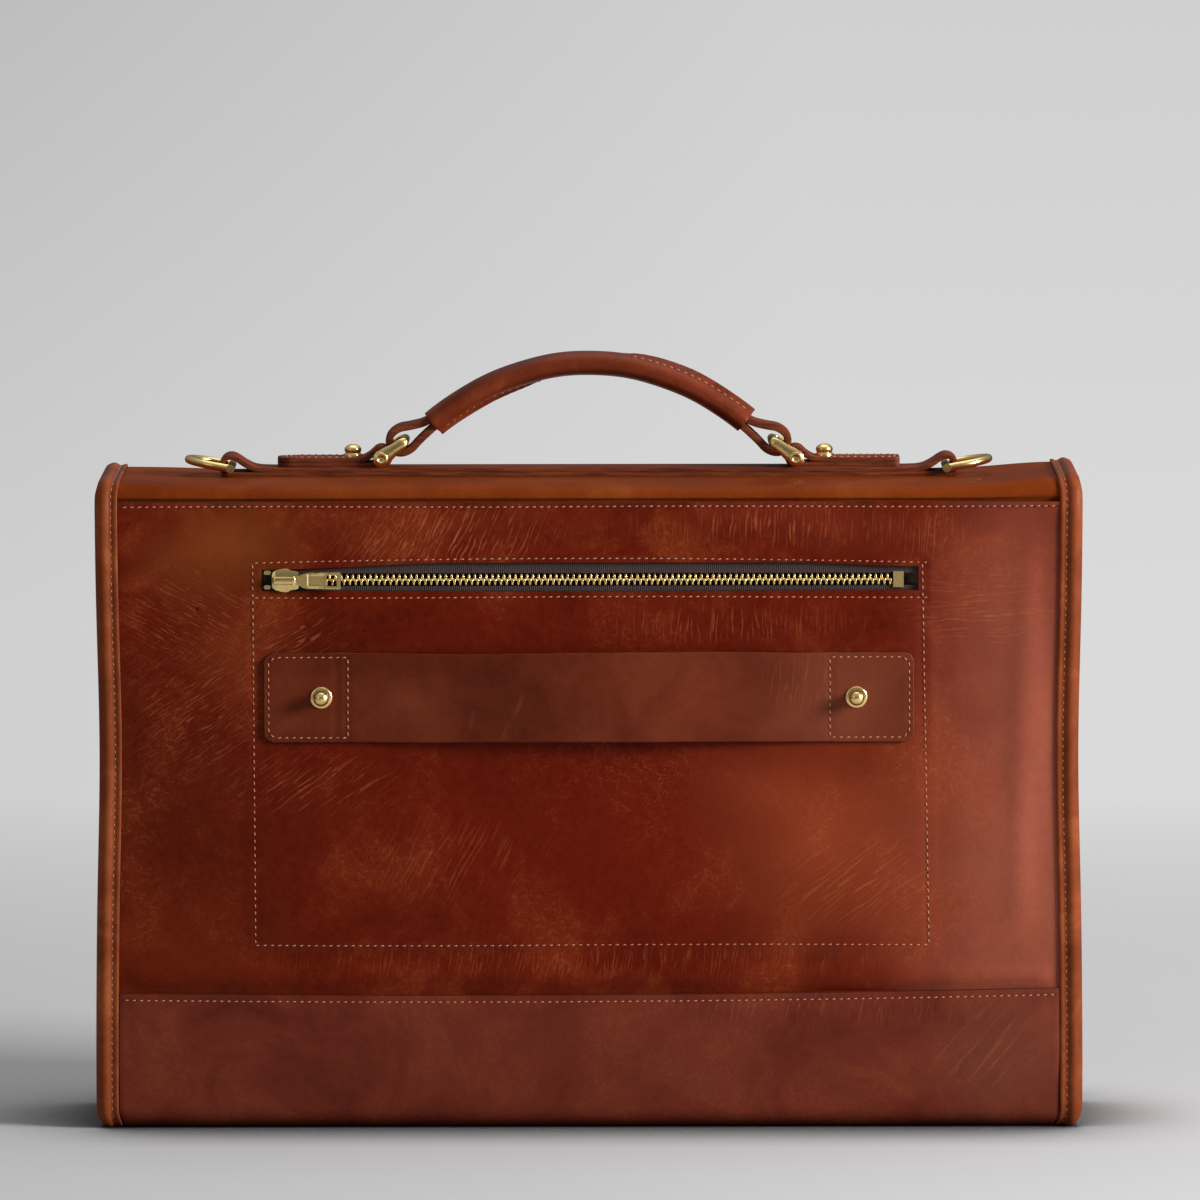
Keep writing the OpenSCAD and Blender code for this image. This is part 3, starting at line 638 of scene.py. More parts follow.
@dataclass(frozen=True)
class Leather:
    """Waxed pull-up leather, vegetable tanned.

    Its wax darkens it, and where it is bent or pulled the wax moves and the leather shows lighter.
    """

    name: str
    base: str
    dark: str
    light: str
    crease: str
    roughness: float
    mottle: float = 46.0
    grain: float = 0.9
    wax: float = 0.32
    cracks: float = 0.13
    shine: float = 0.09
    zones: tuple[Zone, ...] = ()
    creases: tuple[Crease, ...] = ()

    def mask(self, nodes: Nodes, place: NodeSocket, zone: Zone) -> NodeSocket:
        """Draws a zone's mask.

        Args:
            nodes: The material's nodes.
            place: Places in metres.
            zone: The oval.

        Returns:
            The mask, from 0 to the zone's strength.
        """
        scale = (1000 / zone.rx, 0.0, 1000 / zone.rz)
        shift = (-zone.x / zone.rx, 0.0, -zone.z / zone.rz)
        near = nodes.add("VectorMath", (place, scale, shift), operation="MULTIPLY_ADD")
        far = nodes.add("VectorMath", (near,), "Value", operation="LENGTH")
        return nodes.add("MapRange", (far, 0.0, 1.0, zone.strength, 0.0), interpolation_type="SMOOTHSTEP")

    def folds(self, nodes: Nodes, place: NodeSocket, crease: Crease) -> NodeSocket:
        """Draws one family of creases.

        Args:
            nodes: The material's nodes.
            place: Places in metres.
            crease: The family.

        Returns:
            A value that is high along the creases.
        """
        lean = math.radians(crease.lean)
        across = tuple(1000 / crease.spacing * k for k in (-math.sin(lean), 0.3, math.cos(lean)))
        along = tuple(1000 / crease.run * k for k in (math.cos(lean), 0.3, math.sin(lean)))
        first, second = (nodes.add("VectorMath", (place, k), "Value", operation="DOT_PRODUCT") for k in (across, along))
        both = nodes.add("CombineXYZ", (first, second))
        wobble = nodes.add("TexNoise", {"Vector": both, "Scale": 0.55, "Detail": 3.0}, noise_dimensions="2D")
        turns = nodes.add("Math", (first, math.tau), operation="MULTIPLY")
        phase = nodes.add("Math", (wobble, 16.0, turns), operation="MULTIPLY_ADD")
        wave = nodes.add("Math", (phase,), operation="SINE")
        ridge = nodes.add("MapRange", (wave, 1 - 9 * crease.width, 1.0), interpolation_type="SMOOTHSTEP")
        gaps = nodes.add("TexNoise", {"Vector": both, "Scale": 1.1, "Detail": 2.0, "W": 3.0}, noise_dimensions="4D")
        part = nodes.add("MapRange", (gaps, 0.42, 0.62), interpolation_type="SMOOTHSTEP")
        thin = nodes.add("Math", (ridge, part), operation="MULTIPLY")
        return nodes.add("Math", (thin, self.mask(nodes, place, crease.zone)), operation="MULTIPLY")

    def build(self) -> Material:
        """Makes the leather.

        Returns:
            The material.
        """
        made, nodes, place, shader = start_material(self.name)
        wander = nodes.add("TexNoise", {"Vector": place, "Scale": 1000 / 70, "Detail": 3.0}, "Color")
        drift = nodes.add("VectorMath", (wander, (0.5, 0.5, 0.5)), operation="SUBTRACT")
        loose = nodes.add("VectorMath", (drift, (0.06, 0.06, 0.06), place), operation="MULTIPLY_ADD")
        soft = {"Scale": 1000 / self.mottle, "Detail": 5.0, "Roughness": 0.6, "Distortion": 0.4}
        cloud = nodes.add("TexNoise", {"Vector": loose, **soft})
        colour = nodes.add("ValToRGB", (cloud,))
        stops = colour.node.color_ramp.elements
        stops[0].position, stops[0].color = 0.3, paint(self.dark)
        stops[1].position, stops[1].color = 0.72, paint(self.light)
        stops.new(0.5).color = paint(self.base)
        layers = [(self.mask(nodes, loose if zone.rx > 5 else place, zone), zone.tint) for zone in self.zones]
        # Fine unevenness of the wax, and thin wandering wrinkles where it has dried, lighter than the leather.
        crackle = nodes.add("TexNoise", {"Vector": place, "Scale": 1000 / 4, "Detail": 6.0, "Roughness": 0.75})
        marble = nodes.add("MapRange", (crackle, 0.35, 0.8, 0.0, self.wax))
        shake = nodes.add("TexNoise", {"Vector": place, "Scale": 1000 / 5, "Detail": 3.0}, "Color")
        bent = nodes.add("VectorMath", (shake, (0.004, 0.004, 0.004), place), operation="MULTIPLY_ADD")
        net = nodes.add("TexNoise", {"Vector": bent, "Scale": 1000 / 6.5, "Detail": 4.0, "Roughness": 0.62})
        near = nodes.add("Math", (nodes.add("Math", (net, 0.5), operation="SUBTRACT"),), operation="ABSOLUTE")
        web = nodes.add("MapRange", (near, 0.0, 0.022, self.cracks, 0.0), interpolation_type="SMOOTHSTEP")
        patchy = nodes.add("MapRange", (cloud, 0.42, 0.66), interpolation_type="SMOOTHSTEP")
        layers += [(marble, self.light), (nodes.add("Math", (web, patchy), operation="MULTIPLY"), self.crease)]
        # The leather's grain, and over it the creases, which stand up as they show lighter.
        grain = nodes.add("TexNoise", {"Vector": place, "Scale": 1000 / self.grain, "Detail": 3.0, "Roughness": 0.6})
        height = nodes.add("Math", (grain, 0.35), operation="MULTIPLY")
        height = nodes.add("Math", (crackle, 0.9, height), operation="MULTIPLY_ADD")
        if self.creases:
            first, *others = (self.folds(nodes, place, crease) for crease in self.creases)
            for other in others:
                first = nodes.add("Math", (first, other), operation="MAXIMUM")
            layers.append((first, self.crease))
            height = nodes.add("Math", (first, 0.8, height), operation="MULTIPLY_ADD")
        # Dark open pores.
        cells = nodes.add("TexVoronoi", {"Vector": place, "Scale": 1000 / 2.6}, "Distance")
        pit = nodes.add("MapRange", (cells, 0.1, 0.2, 0.3, 0.0))
        layers.append((nodes.add("Math", (pit, marble), operation="MULTIPLY"), self.dark))
        for mask, tint in layers:
            colour = nodes.add("Mix", {0: mask, 6: colour, 7: paint(tint)}, 2, data_type="RGBA")
        rough = nodes.add("MapRange", (cloud, 0.3, 0.7, self.roughness - 0.06, self.roughness + 0.08))
        bump = nodes.add("Bump", {"Height": height, "Strength": 0.5, "Distance": 0.0003})
        look = {"Base Color": colour, "Roughness": rough, "Normal": bump, "Specular IOR Level": self.shine}
        nodes.feed(shader, look)
        return made


@dataclass(frozen=True)
class CutEdge:
    """Cut edge of the leather, dyed dark and rubbed smooth, with its layers of fibre."""

    name: str = "burnished_edge"
    base: str = "#2c100a"
    light: str = "#52281a"
    layers: tuple[float, float, float] = (1.0, 1.0, 1.0)

    def build(self) -> Material:
        """Makes the edge's finish.

        Returns:
            The material.
        """
        made, nodes, place, shader = start_material(self.name)
        drawn = nodes.add("VectorMath", (place, self.layers), operation="MULTIPLY")
        fibre = nodes.add("TexNoise", {"Vector": drawn, "Scale": 1000 / 1.6, "Detail": 4.0, "Roughness": 0.7})
        colour = nodes.add("ValToRGB", (fibre,))
        stops = colour.node.color_ramp.elements
        stops[0].position, stops[0].color = 0.4, paint(self.base)
        stops[1].position, stops[1].color = 0.75, paint(self.light)
        bump = nodes.add("Bump", {"Height": fibre, "Strength": 0.4, "Distance": 0.0002})
        nodes.feed(shader, {"Base Color": colour, "Roughness": 0.55, "Normal": bump, "Specular IOR Level": 0.2})
        return made


@dataclass(frozen=True)
class Thread:
    """Waxed polyester sewing thread, bonded, with a faint twist; the same shader also paints the dark shadow disc at
    each needle hole.
    """

    name: str
    base: str
    dark: str

    def build(self) -> Material:
        """Makes the thread's finish.

        Returns:
            The material.
        """
        made, nodes, place, shader = start_material(self.name)
        twist = nodes.add("TexNoise", {"Vector": place, "Scale": 1000 / 2.2, "Detail": 2.0})
        tint = nodes.add("Mix", {0: twist, 6: paint(self.dark), 7: paint(self.base)}, 2, data_type="RGBA")
        nodes.feed(shader, {"Base Color": tint, "Roughness": 0.5})
        return made


@dataclass(frozen=True)
class Brass:
    """Cast brass, tumbled and polished, a little tarnished in the hollows."""

    name: str = "polished_brass"
    base: str = "#f4d48c"
    tarnish: str = "#c29a54"
    roughness: float = 0.17

    def build(self) -> Material:
        """Makes the metal.

        Returns:
            The material.
        """
        made, nodes, place, shader = start_material(self.name)
        stain = nodes.add("TexNoise", {"Vector": place, "Scale": 1000 / 5, "Detail": 5.0, "Roughness": 0.65})
        old = nodes.add("MapRange", (stain, 0.5, 0.8, 0.0, 0.5))
        tint = nodes.add("Mix", {0: old, 6: paint(self.base), 7: paint(self.tarnish)}, 2, data_type="RGBA")
        rough = nodes.add("MapRange", (stain, 0.3, 0.7, self.roughness, self.roughness + 0.14))
        # Fine rubbing marks, drawn 0.4 mm apart so that they show.
        marks = nodes.add("TexNoise", {"Vector": place, "Scale": 1000 / 0.4, "Detail": 2.0})
        bump = nodes.add("Bump", {"Height": marks, "Strength": 0.05, "Distance": 0.0001})
        nodes.feed(shader, {"Base Color": tint, "Metallic": 1.0, "Roughness": rough, "Normal": bump})
        return made


class Weave(Enum):
    """How a cloth is woven."""

    RIBBED = "ribs across the tape"
    PLAIN = "threads both ways"


@dataclass(frozen=True)
class Cloth:
    """Woven cotton or polyester cloth."""

    name: str
    base: str
    dark: str
    weave: Weave
    thread: float

    def build(self) -> Material:
        """Makes the cloth.

        Returns:
            The material.
        """
        made, nodes, place, shader = start_material(self.name)
        # A wave's period is 1/20 of its scale's unit, so this gives one rib to a thread.
        ribs = {"Vector": place, "Scale": 1000 / self.thread / 20 * math.tau}
        weave = nodes.add("TexWave", ribs, "Fac", bands_direction="X")
        if self.weave is Weave.PLAIN:
            other = nodes.add("TexWave", ribs, "Fac", bands_direction="Z")
            weave = nodes.add("Math", (weave, other), operation="MULTIPLY")
        soil = nodes.add("TexNoise", {"Vector": place, "Scale": 1000 / 24, "Detail": 4.0})
        # Painted shade: the colour darkens between the weave's ribs, where its grooves lie, and also in random patches
        # of soil.
        depth = nodes.add("Math", (weave, soil), operation="MULTIPLY")
        tint = nodes.add("Mix", {0: depth, 6: paint(self.dark), 7: paint(self.base)}, 2, data_type="RGBA")
        bump = nodes.add("Bump", {"Height": weave, "Strength": 0.5, "Distance": 0.0003})
        nodes.feed(shader, {"Base Color": tint, "Roughness": 0.85, "Normal": bump, "Sheen Weight": 0.2})
        return made


@dataclass(frozen=True)
class Board:
    """Pressed grey fibre board with flecks of fibre."""

    name: str = "fibre_board"
    base: str = "#8d7f68"
    fleck: str = "#5f5443"

    def build(self) -> Material:
        """Makes the board.

        Returns:
            The material.
        """
        made, nodes, place, shader = start_material(self.name)
        fibre = nodes.add("TexNoise", {"Vector": place, "Scale": 1000 / 3, "Detail": 6.0, "Roughness": 0.8})
        tint = nodes.add("Mix", {0: fibre, 6: paint(self.base), 7: paint(self.fleck)}, 2, data_type="RGBA")
        bump = nodes.add("Bump", {"Height": fibre, "Strength": 0.3, "Distance": 0.0002})
        nodes.feed(shader, {"Base Color": tint, "Roughness": 0.8, "Normal": bump})
        return made


BACK_TONE_AND_SHEEN_ZONES = (
    Zone(0, 165, 230, 120, 0.8, "#590d02"),
    Zone(20, 120, 150, 60, 0.45, "#681404"),
    Zone(-185, 150, 90, 120, 0.8, "#4c1103"),
    Zone(-175, 80, 70, 40, 0.6, "#612008"),
    Zone(-160, 258, 60, 34, 0.7, "#80401a"),
    Zone(-150, 215, 40, 34, 0.45, "#7c3616"),
    Zone(-70, 262, 80, 14, 0.5, "#6b2410"),
    # Painted sheen: the two lighter zones below, towards the right, stand for the window lamp's reflection on that side
    # of the panel.
    Zone(204, 140, 92, 200, 0.92, "#a15844"),
    Zone(105, 130, 80, 80, 0.7, "#904024"),
    Zone(100, 262, 90, 18, 0.5, "#6f2616"),
    Zone(-171.1, 228.4, 1.0, 1.2, 1.0, "#120404"),
    Zone(-98.0, 218.8, 1.1, 1.1, 1.0, "#120404"),
    Zone(-198.2, 208.7, 0.8, 0.9, 0.9, "#120404"),
    Zone(-170.6, 168.9, 0.9, 0.9, 0.9, "#120404"),
)
BACK_CREASES = (
    Crease(Zone(-60, 260, 66, 19, 0.51), 66, 2.16, 10.8, 0.09),
    Crease(Zone(-88, 256, 34, 15, 0.34), 50, 2.16, 9.4, 0.09),
    Crease(Zone(80, 264, 90, 13, 0.34), 88, 1.87, 13, 0.09),
    Crease(Zone(60, 222, 90, 12, 0.26), 88, 2.16, 11.5, 0.09),
    Crease(Zone(-175, 225, 46, 30, 0.3), -28, 1.73, 8.6, 0.08),
    Crease(Zone(-172, 185, 46, 44, 0.27), 34, 1.87, 8.6, 0.08),
    Crease(Zone(-128, 216, 34, 20, 0.34), 32, 1.73, 9.4, 0.09),
    Crease(Zone(172, 228, 44, 28, 0.3), 2, 1.73, 10.8, 0.09),
    Crease(Zone(150, 262, 24, 16, 0.34), 86, 1.73, 13, 0.1),
    Crease(Zone(-120, 152, 54, 20, 0.3), 36, 2.02, 10.8, 0.09),
    Crease(Zone(118, 108, 56, 34, 0.24), 38, 2.45, 17.3, 0.08),
    Crease(Zone(0, 74, 200, 12, 0.21), 84, 1.73, 10.1, 0.09),
    Crease(Zone(-60, 118, 60, 26, 0.21), 62, 2.45, 18.7, 0.08),
)
BASE_ZONES = (Zone(0, 30, 130, 60, 0.4, "#6a2b1c"), Zone(190, 30, 60, 60, 0.5, "#74402f"))
BASE_CREASES = (
    Crease(Zone(172, 36, 34, 28, 0.32), 50, 5.0, 34, 0.04),
    Crease(Zone(100, 52, 120, 12, 0.2), 78, 2.6, 12, 0.09),
)
SLEEVE_ZONES = (Zone(104, 190, 50, 60, 0.6, "#7c402c"), Zone(-124, 190, 24, 40, 0.3, "#652812"))
SLEEVE_CREASES = (
    Crease(Zone(-40, 184, 18, 16, 0.6), 78, 9, 60, 0.02),
    Crease(Zone(92, 196, 26, 24, 0.16), 84, 2.4, 14, 0.07),
)


class Finishes:
    """Every finish of the bag, each made once."""

    def __init__(self) -> None:
        """Makes the materials."""
        panel = ("panel_leather_waxed", "#5a1303", "#430b01", "#782d0f", "#b8663c", 0.4)
        base = ("base_leather_waxed", "#64261a", "#501b10", "#763420", "#a55d3c", 0.4)
        top = ("top_leather_waxed", "#76300c", "#642507", "#864016", "#a86038", 0.5, 60)
        binding = ("binding_leather_waxed", "#783619", "#62290f", "#944e28", "#ad6c42", 0.42, 30)
        sleeve = ("sleeve_leather_waxed", "#5c220f", "#4a170a", "#70301a", "#b06a44", 0.4)
        strap = ("strap_leather_waxed", "#6e301b", "#572212", "#844226", "#a36038", 0.5, 40)
        grip = ("grip_leather_waxed", "#6a2914", "#511d0c", "#86401f", "#a45c34", 0.38, 34)
        self.panel = Leather(*panel, shine=0.065, cracks=0.18, zones=BACK_TONE_AND_SHEEN_ZONES, creases=BACK_CREASES).build()
        self.base = Leather(*base, shine=0.08, zones=BASE_ZONES, creases=BASE_CREASES).build()
        self.top = Leather(*top, shine=0.03).build()
        self.binding = Leather(*binding, shine=0.08).build()
        self.sleeve = Leather(*sleeve, cracks=0.03, zones=SLEEVE_ZONES, creases=SLEEVE_CREASES).build()
        self.strap = Leather(*strap, shine=0.06).build()
        self.grip = Leather(*grip, shine=0.1).build()
        self.edge = CutEdge().build()
        self.strap_edge = CutEdge("raw_strap_edge", "#541f0c", "#84421f", (0.1, 0.4, 1.6)).build()
        self.thread = Thread("sewing_thread_tan", "#c67f5a", "#98583c").build()
        # Painted shadow: a near-black colour for the flat discs that stand for the shade in the needle holes.
        self.hole = Thread("needle_hole_shadow", "#2a0d07", "#180605").build()
        self.brass = Brass().build()
        self.tape = Cloth("zip_tape_cotton", "#523231", "#1e1111", Weave.RIBBED, 0.9).build()
        self.lining = Cloth("lining_cotton", "#6d4a34", "#3a271c", Weave.PLAIN, 0.8).build()
        self.board = Board().build()


class Stitcher:
    """Sews rows of stitches on a surface, each with its thread and a disc of painted shadow at each needle hole."""

    def __init__(self, finishes: Finishes) -> None:
        """Models one stitch and one flat dark disc, the painted shadow of a needle hole.

        Args:
            finishes: The bag's finishes.
        """
        self.skins = (finishes.thread, finishes.hole)
        bpy.ops.object.select_all(action="DESELECT")
        bpy.ops.mesh.primitive_uv_sphere_add(segments=6, ring_count=6, radius=1, rotation=(0, math.pi / 2, 0))
        activate(bpy.context.active_object)
        bpy.ops.object.transform_apply(rotation=True)
        self.stitch = Pattern.taken(bpy.context.active_object)
        points = self.stitch.points * (1.0, 0.31, 0.28)
        points[:, 2] += 0.2 - 0.36 * points[:, 0] ** 2
        lean = math.radians(9)
        turn = np.array([[math.cos(lean), math.sin(lean)], [-math.sin(lean), math.cos(lean)]])
        self.stitch.points = np.column_stack([points[:, :2] @ turn, points[:, 2]])
        # A flat dark disc at each needle hole is painted shadow.
        bpy.ops.mesh.primitive_circle_add(vertices=8, radius=0.42, fill_type="TRIFAN")
        self.hole = Pattern.taken(bpy.context.active_object)
        self.hole.points[:, 2], self.hole.skin = 0.09, 1

    def sew(self, name: str, rows: Sequence[tuple[Array, Line]], pitch: float = PLAN.pitch) -> Object:
        """Sews rows of stitches.

        Args:
            name: Name of the piece.
            rows: For each row its points in mm and the surface's normals there, or one normal for all.
            pitch: Length of a stitch in mm.

        Returns:
            The piece, at the origin.
        """
        stitches, hole_shadows = [], []
        for points, normals in rows:
            line = np.column_stack([points, np.broadcast_to(np.array(normals, float), points.shape)])
            steps = lengths(points)
            count = max(2, round(steps[-1] / pitch))
            for shift, store in ((0.5, stitches), (0.0, hole_shadows)):
                at = (np.arange(count + (shift == 0)) + shift) / count * steps[-1]
                found, ahead, behind = (
                    np.stack([np.interp(at + reach, steps, column) for column in line.T], axis=1)
                    for reach in (0, 0.4, -0.4)
                )
                store.append((found[:, :3], (ahead - behind)[:, :3], found[:, 3:]))
        gathered = [tuple(np.vstack(part) for part in zip(*store, strict=True)) for store in (stitches, hole_shadows)]
        return repeat(name, (self.stitch, self.hole), gathered, self.skins)


@dataclass
class BackWall:
    """Back panel with its zip window, and the relief that everything on it follows."""

    finishes: Finishes
    stitcher: Stitcher
    bottom: float = 47.0
    window: tuple[float, float, float, float] = (-143.0, 144.0, 234.0, 248.0)
    pocket: tuple[float, float, float, float] = (-147.0, 148.75, 80.5, 250.3)
    zip_row: float = 233.3
    seam_row: float = 273.0

    def rows(self) -> list[Array]:
        """Stitch rows on the panel, as crooked as they were sewn.

        Returns:
            For each row its line of X and Z.
        """
        x0, x1, z0, z1 = self.pocket
        x = np.linspace(x0, x1, 90)
        z = np.linspace(z0, z1 - 1.8, 70)
        seam = np.linspace(-204.5, 204.5, 120)
        return [
            columns(seam, self.seam_row + 0.15 * np.sin(seam / 30)),
            columns(x, z0 + 0.25 * np.sin(x / 45)),
            columns(x, z1 - 1.9 * (x / 147) ** 2),
            columns(x, self.zip_row + 0.25 * np.sin(x / 40 + 1)),
            columns(x0 + 0.9 - 0.9 * (z - z0) / 170, z),
            columns(x1 - 3.0 * (z - z0) / 170, z),
        ]

    def outward(self, x: Array, z: Array) -> Array:
        """Relief of the soft panel.

        Args:
            x: Places along X in mm.
            z: Places along Z in mm.

        Returns:
            How far the panel stands out at each place, in mm.
        """
        relief = 0.9 * hump(x, 190 + 0.03 * (z - 150), 6) * ease(z, 70, 110) * (1 - ease(z, 240, 268))
        relief += 0.45 * np.sin(x / 29 + 1.3) * np.sin(z / 23 + 0.4) + 0.25 * np.sin(x / 13 + z / 17)
        relief += 0.5 * in_box(x, z, self.pocket, 4)
        relief -= 0.9 * hump(z - 59.0 - 0.0049 * x - 0.000045 * x**2, 0, 1.5)
        relief += 1.2 * hump(z, 67, 4) - 0.5 * hump(z, 256, 3) * in_box(x, z, (-140, 100, 240, 270), 20)
        relief *= 1 - 0.8 * in_box(x, z, self.window, 6)
        relief *= 1 - in_box(x, z, (-143, -104, 169, 210), 8) - in_box(x, z, (104, 143, 169, 210), 8)
        for line in self.rows():
            upright = int(np.ptp(line[:, 0]) < np.ptp(line[:, 1]))
            along, off = (z, x) if upright else (x, z)
            run = line[:, upright]
            past = np.maximum(np.maximum(run[0] - along, along - run[-1]), 0)
            relief -= 0.4 * hump(np.abs(off - np.interp(along, run, line[:, 1 - upright])) + past, 0, 1.5)
        return relief * (1 - ease(np.abs(x), 196, 205)) * (1 - ease(z, 272, 275))

    def drape(self, x: Array, z: Array) -> Array:
        """Lets the window's soft edges sag over the zip.

        Args:
            x: Places along X in mm.
            z: Heights before the sag in mm.

        Returns:
            The heights after it.
        """
        z0, z1 = self.window[2:]
        lower = 2.3 - 0.5 * hump(x, 0, 90)
        upper = 0.4 - 2.9 * ease(-x, 55, 143) - 1.7 * ease(x, 85, 144)
        share = np.clip((z - z0) / (z1 - z0), 0, 1)
        fall = np.where(z < z0, ease(z, z0 - 9, z0), 1 - ease(z, z1, z1 + 9))
        return z + (lower * (1 - share) + upper * share) * fall * (1 - ease(np.abs(x - 0.5), 144, 150))

    def points(self, x: Array, z: Array) -> Array:
        """Places on the panel's outer face."""
        return columns(side_x(x, z), PLAN.back_y - self.outward(x, z), z)

    def panel(self) -> Object:
        """Cuts the panel round its zip window.

        Returns:
            The panel.
        """
        x0, x1, z0, z1 = self.window
        xs = stretches(-PLAN.panel_x, (x0, 34), (x1, 140), (PLAN.panel_x, 34))
        zs = stretches(self.bottom, (z0, 85), (z1, 7), (PLAN.seam_z, 12))

        def place(u: Array, v: Array) -> Array:
            """The panel's face."""
            x, z = read_along(xs, u), read_along(zs, v)
            return self.points(x, self.drape(x, z))

        def cut(centres: Array) -> Array:
            """Tells which cells lie in the window."""
            x, z = (read_along(places, (centres[:, k] + 1) / 2) for k, places in enumerate((xs, zs)))
            return (x > x0) & (x < x1) & (z > z0) & (z < z1)

        cells = (len(xs) - 1, len(zs) - 1)
        skins = (self.finishes.panel, self.finishes.edge)
        return make_sheet("back_leather", place, cells, skins, 1.8, (0, -1, 0), (0.2, 0.2), window=cut)

    def build(self) -> None:
        """Makes the panel and sews it."""
        seat(self.panel(), "root", "panel_leather", "back_panel")
        rows = [(self.points(*line.T), (0, -1, 0)) for line in self.rows()]
        seat(self.stitcher.sew("back_stitches", rows), "root", "panel_leather")


@dataclass
class BaseLeather:
    """Leather that wraps from the back under the base to the front, lapped over the panels."""

    finishes: Finishes
    stitcher: Stitcher
    edge_x: float = 205.9

    def top_edge(self, x: Array) -> Array:
        """Height of the band's upper edge, a little bowed as it was sewn."""
        share = x / 206
        return 58.6 + 1.0 * share + 1.9 * share**2

    def path(self) -> Array:
        """Section of the band's outer face.

        Returns:
            Its points in Y and Z, from the back down and up the front.
        """
        lift, turn = 0.35, PLAN.base_turn + 0.35
        y0, y1 = PLAN.back_y - lift, PLAN.front_y + lift
        wall = ((1.8 - lift, 60.0), (1.8 - lift, 50.0), (1.2, 40.0), (0.5, 28.0), (0.0, 18.0))
        points = [(y0 - out, z) for out, z in wall]
        points += arc(y0 + turn, turn + 0.05, turn, 180, 270)
        points += arc(y1 - turn, turn + 0.05, turn, 270, 360)
        points += [(y1 + out, z) for out, z in wall[::-1]]
        return resample(points, 110)

    def surface(self, u: Array, v: Array) -> Array:
        """Outer face of the band.

        Args:
            u: Shares across the bag.
            v: Shares along the section.

        Returns:
            The places in mm.
        """
        x = (2 * u - 1) * self.edge_x
        y, z = read_along(self.path(), v).T
        height = z + (self.top_edge(x) - 60) * ease(z, 25, 60)
        bulge = 0.5 * np.sin(x / 37 + 0.7) * hump(z, 34, 12) + 0.35 * np.sin(x / 15) * hump(z, 40, 10)
        bulge += 1.1 * hump((x - 178) * 0.8 - (z - 36), 0, 5) * hump(z, 36, 14) * hump(x, 178, 24)
        bulge -= 0.35 * hump(height, self.top_edge(x) - 2.4, 1.5)
        pressed = -0.75 * ease(np.abs(x), 197, 205) * ease(z, 30, 50)
        out = (bulge * (1 - ease(np.abs(x), 192, 204)) + pressed) * ease(z, 8, 16)
        return columns(side_x(x, z), y + np.where(y < -4, -1.0, 1.0) * out, height)

    def build(self) -> None:
        """Makes the band and its stitches."""
        skins = (self.finishes.base, self.finishes.edge)
        band = make_sheet("base_leather", self.surface, (150, 109), skins, 1.75, (0, -1, 0), (0.5, 0.05))
        seat(band, "root", "base_leather", "bottom_band")
        u = np.linspace(0.004, 0.996, 220)
        rows = [(self.surface(u, np.full_like(u, v)), (0, side, 0)) for v, side in ((0.0137, -1), (0.9863, 1))]
        seat(self.stitcher.sew("base_stitches", rows), "root", "base_leather")


@dataclass
class Binding:
    """Narrow leather folded round a raw edge and sewn through."""

    finishes: Finishes
    stitcher: Stitcher
    sewn: float = 6.9
    step: float = 2.6

    def profile(self, v: Array, total: Array) -> tuple[Array, Array]:
        """Section of the folded strip.

        Args:
            v: Place across the strip from 0 to 1.
            total: Thickness over both wings in mm.

        Returns:
            Distance outwards along the edge's direction, and height over the wall.
        """
        half = total / 2
        wing = PLAN.binding_w - half
        girth = 2 * wing + math.pi * half
        at = v * girth
        turn = np.clip((at - wing) / half, 0, math.pi)
        lower = at > wing + math.pi * half
        along = np.where(lower, girth - at - PLAN.binding_w, -half + half * np.sin(turn))
        along = np.where(at < wing, at - PLAN.binding_w, along)
        groove = -0.65 * hump(along, -self.sewn, 0.9) + 0.8 * hump(along, -3.9, 1.8) + 0.2 * hump(along, -9.0, 0.7)
        edge = -0.25 * hump(along, -PLAN.binding_w, 0.5)
        height = PLAN.binding_t - half * (1 - np.cos(turn))
        return along, height + np.where(lower, 0, (groove + edge) * (1 - ease(turn, 0.0, 1.2)))

    def sweep(
        self, name: str, frames: Sequence[Array], total: Array, pressed: Array
    ) -> tuple[Object, tuple[Array, Array]]:
        """Folds the strip along a path.

        Args:
            name: Name of the piece.
            frames: The edge's places in mm, the directions in which it looks, and those of the wall.
            total: Thickness over both wings at each place, in mm.
            pressed: How far the outer wing is pressed in at each place, in mm.

        Returns:
            The piece, and its stitch row's points and normals.
        """
        points, edges, normals = frames

        def place(u: Array, v: Array) -> Array:
            """The strip's face.

            Args:
                u: Shares along the path.
                v: Shares across the strip.

            Returns:
                The places in mm.
            """
            p, e, n, thick, push = (read_along(track, u) for track in (*frames, total, pressed))
            along, height = self.profile(v, thick)
            height -= push * (1 - ease(v, 0.3, 0.45))
            return p + e * along[:, None] + n * height[:, None]

        skins = (self.finishes.binding, self.finishes.edge)
        cells, facing = (len(points) - 1, 26), normals[len(points) // 2]
        piece = make_sheet(name, place, cells, skins, 1.15, facing, (0.5, 0.1), bevel=0.3)
        row = points - edges * self.sewn + normals * (PLAN.binding_t - 0.68 - pressed)[:, None]
        return piece, (row, normals)

    def wall_path(self, line: Line, hand: Hand) -> tuple[Array, Array, Array]:
        """Follows a path along one side of the bag.

        Args:
            line: The path in Y and Z, with the outside on its left as it runs.
            hand: The side of the bag.

        Returns:
            Places, directions of the edge, and normals of the wall.
        """
        flat = resample(line, max(6, round(lengths(line)[-1] / self.step)))
        tangent = unit(np.gradient(flat, axis=0))
        y, z = flat.T
        x = hand.value * (PLAN.half_w - sway(z) - corner_inset(z))
        edges = np.tile((float(hand.value), 0.0, 0.0), (len(flat), 1))
        return columns(x, y, z + top_lift(x, z)), edges, columns(0.0, -tangent[:, 1], tangent[:, 0])


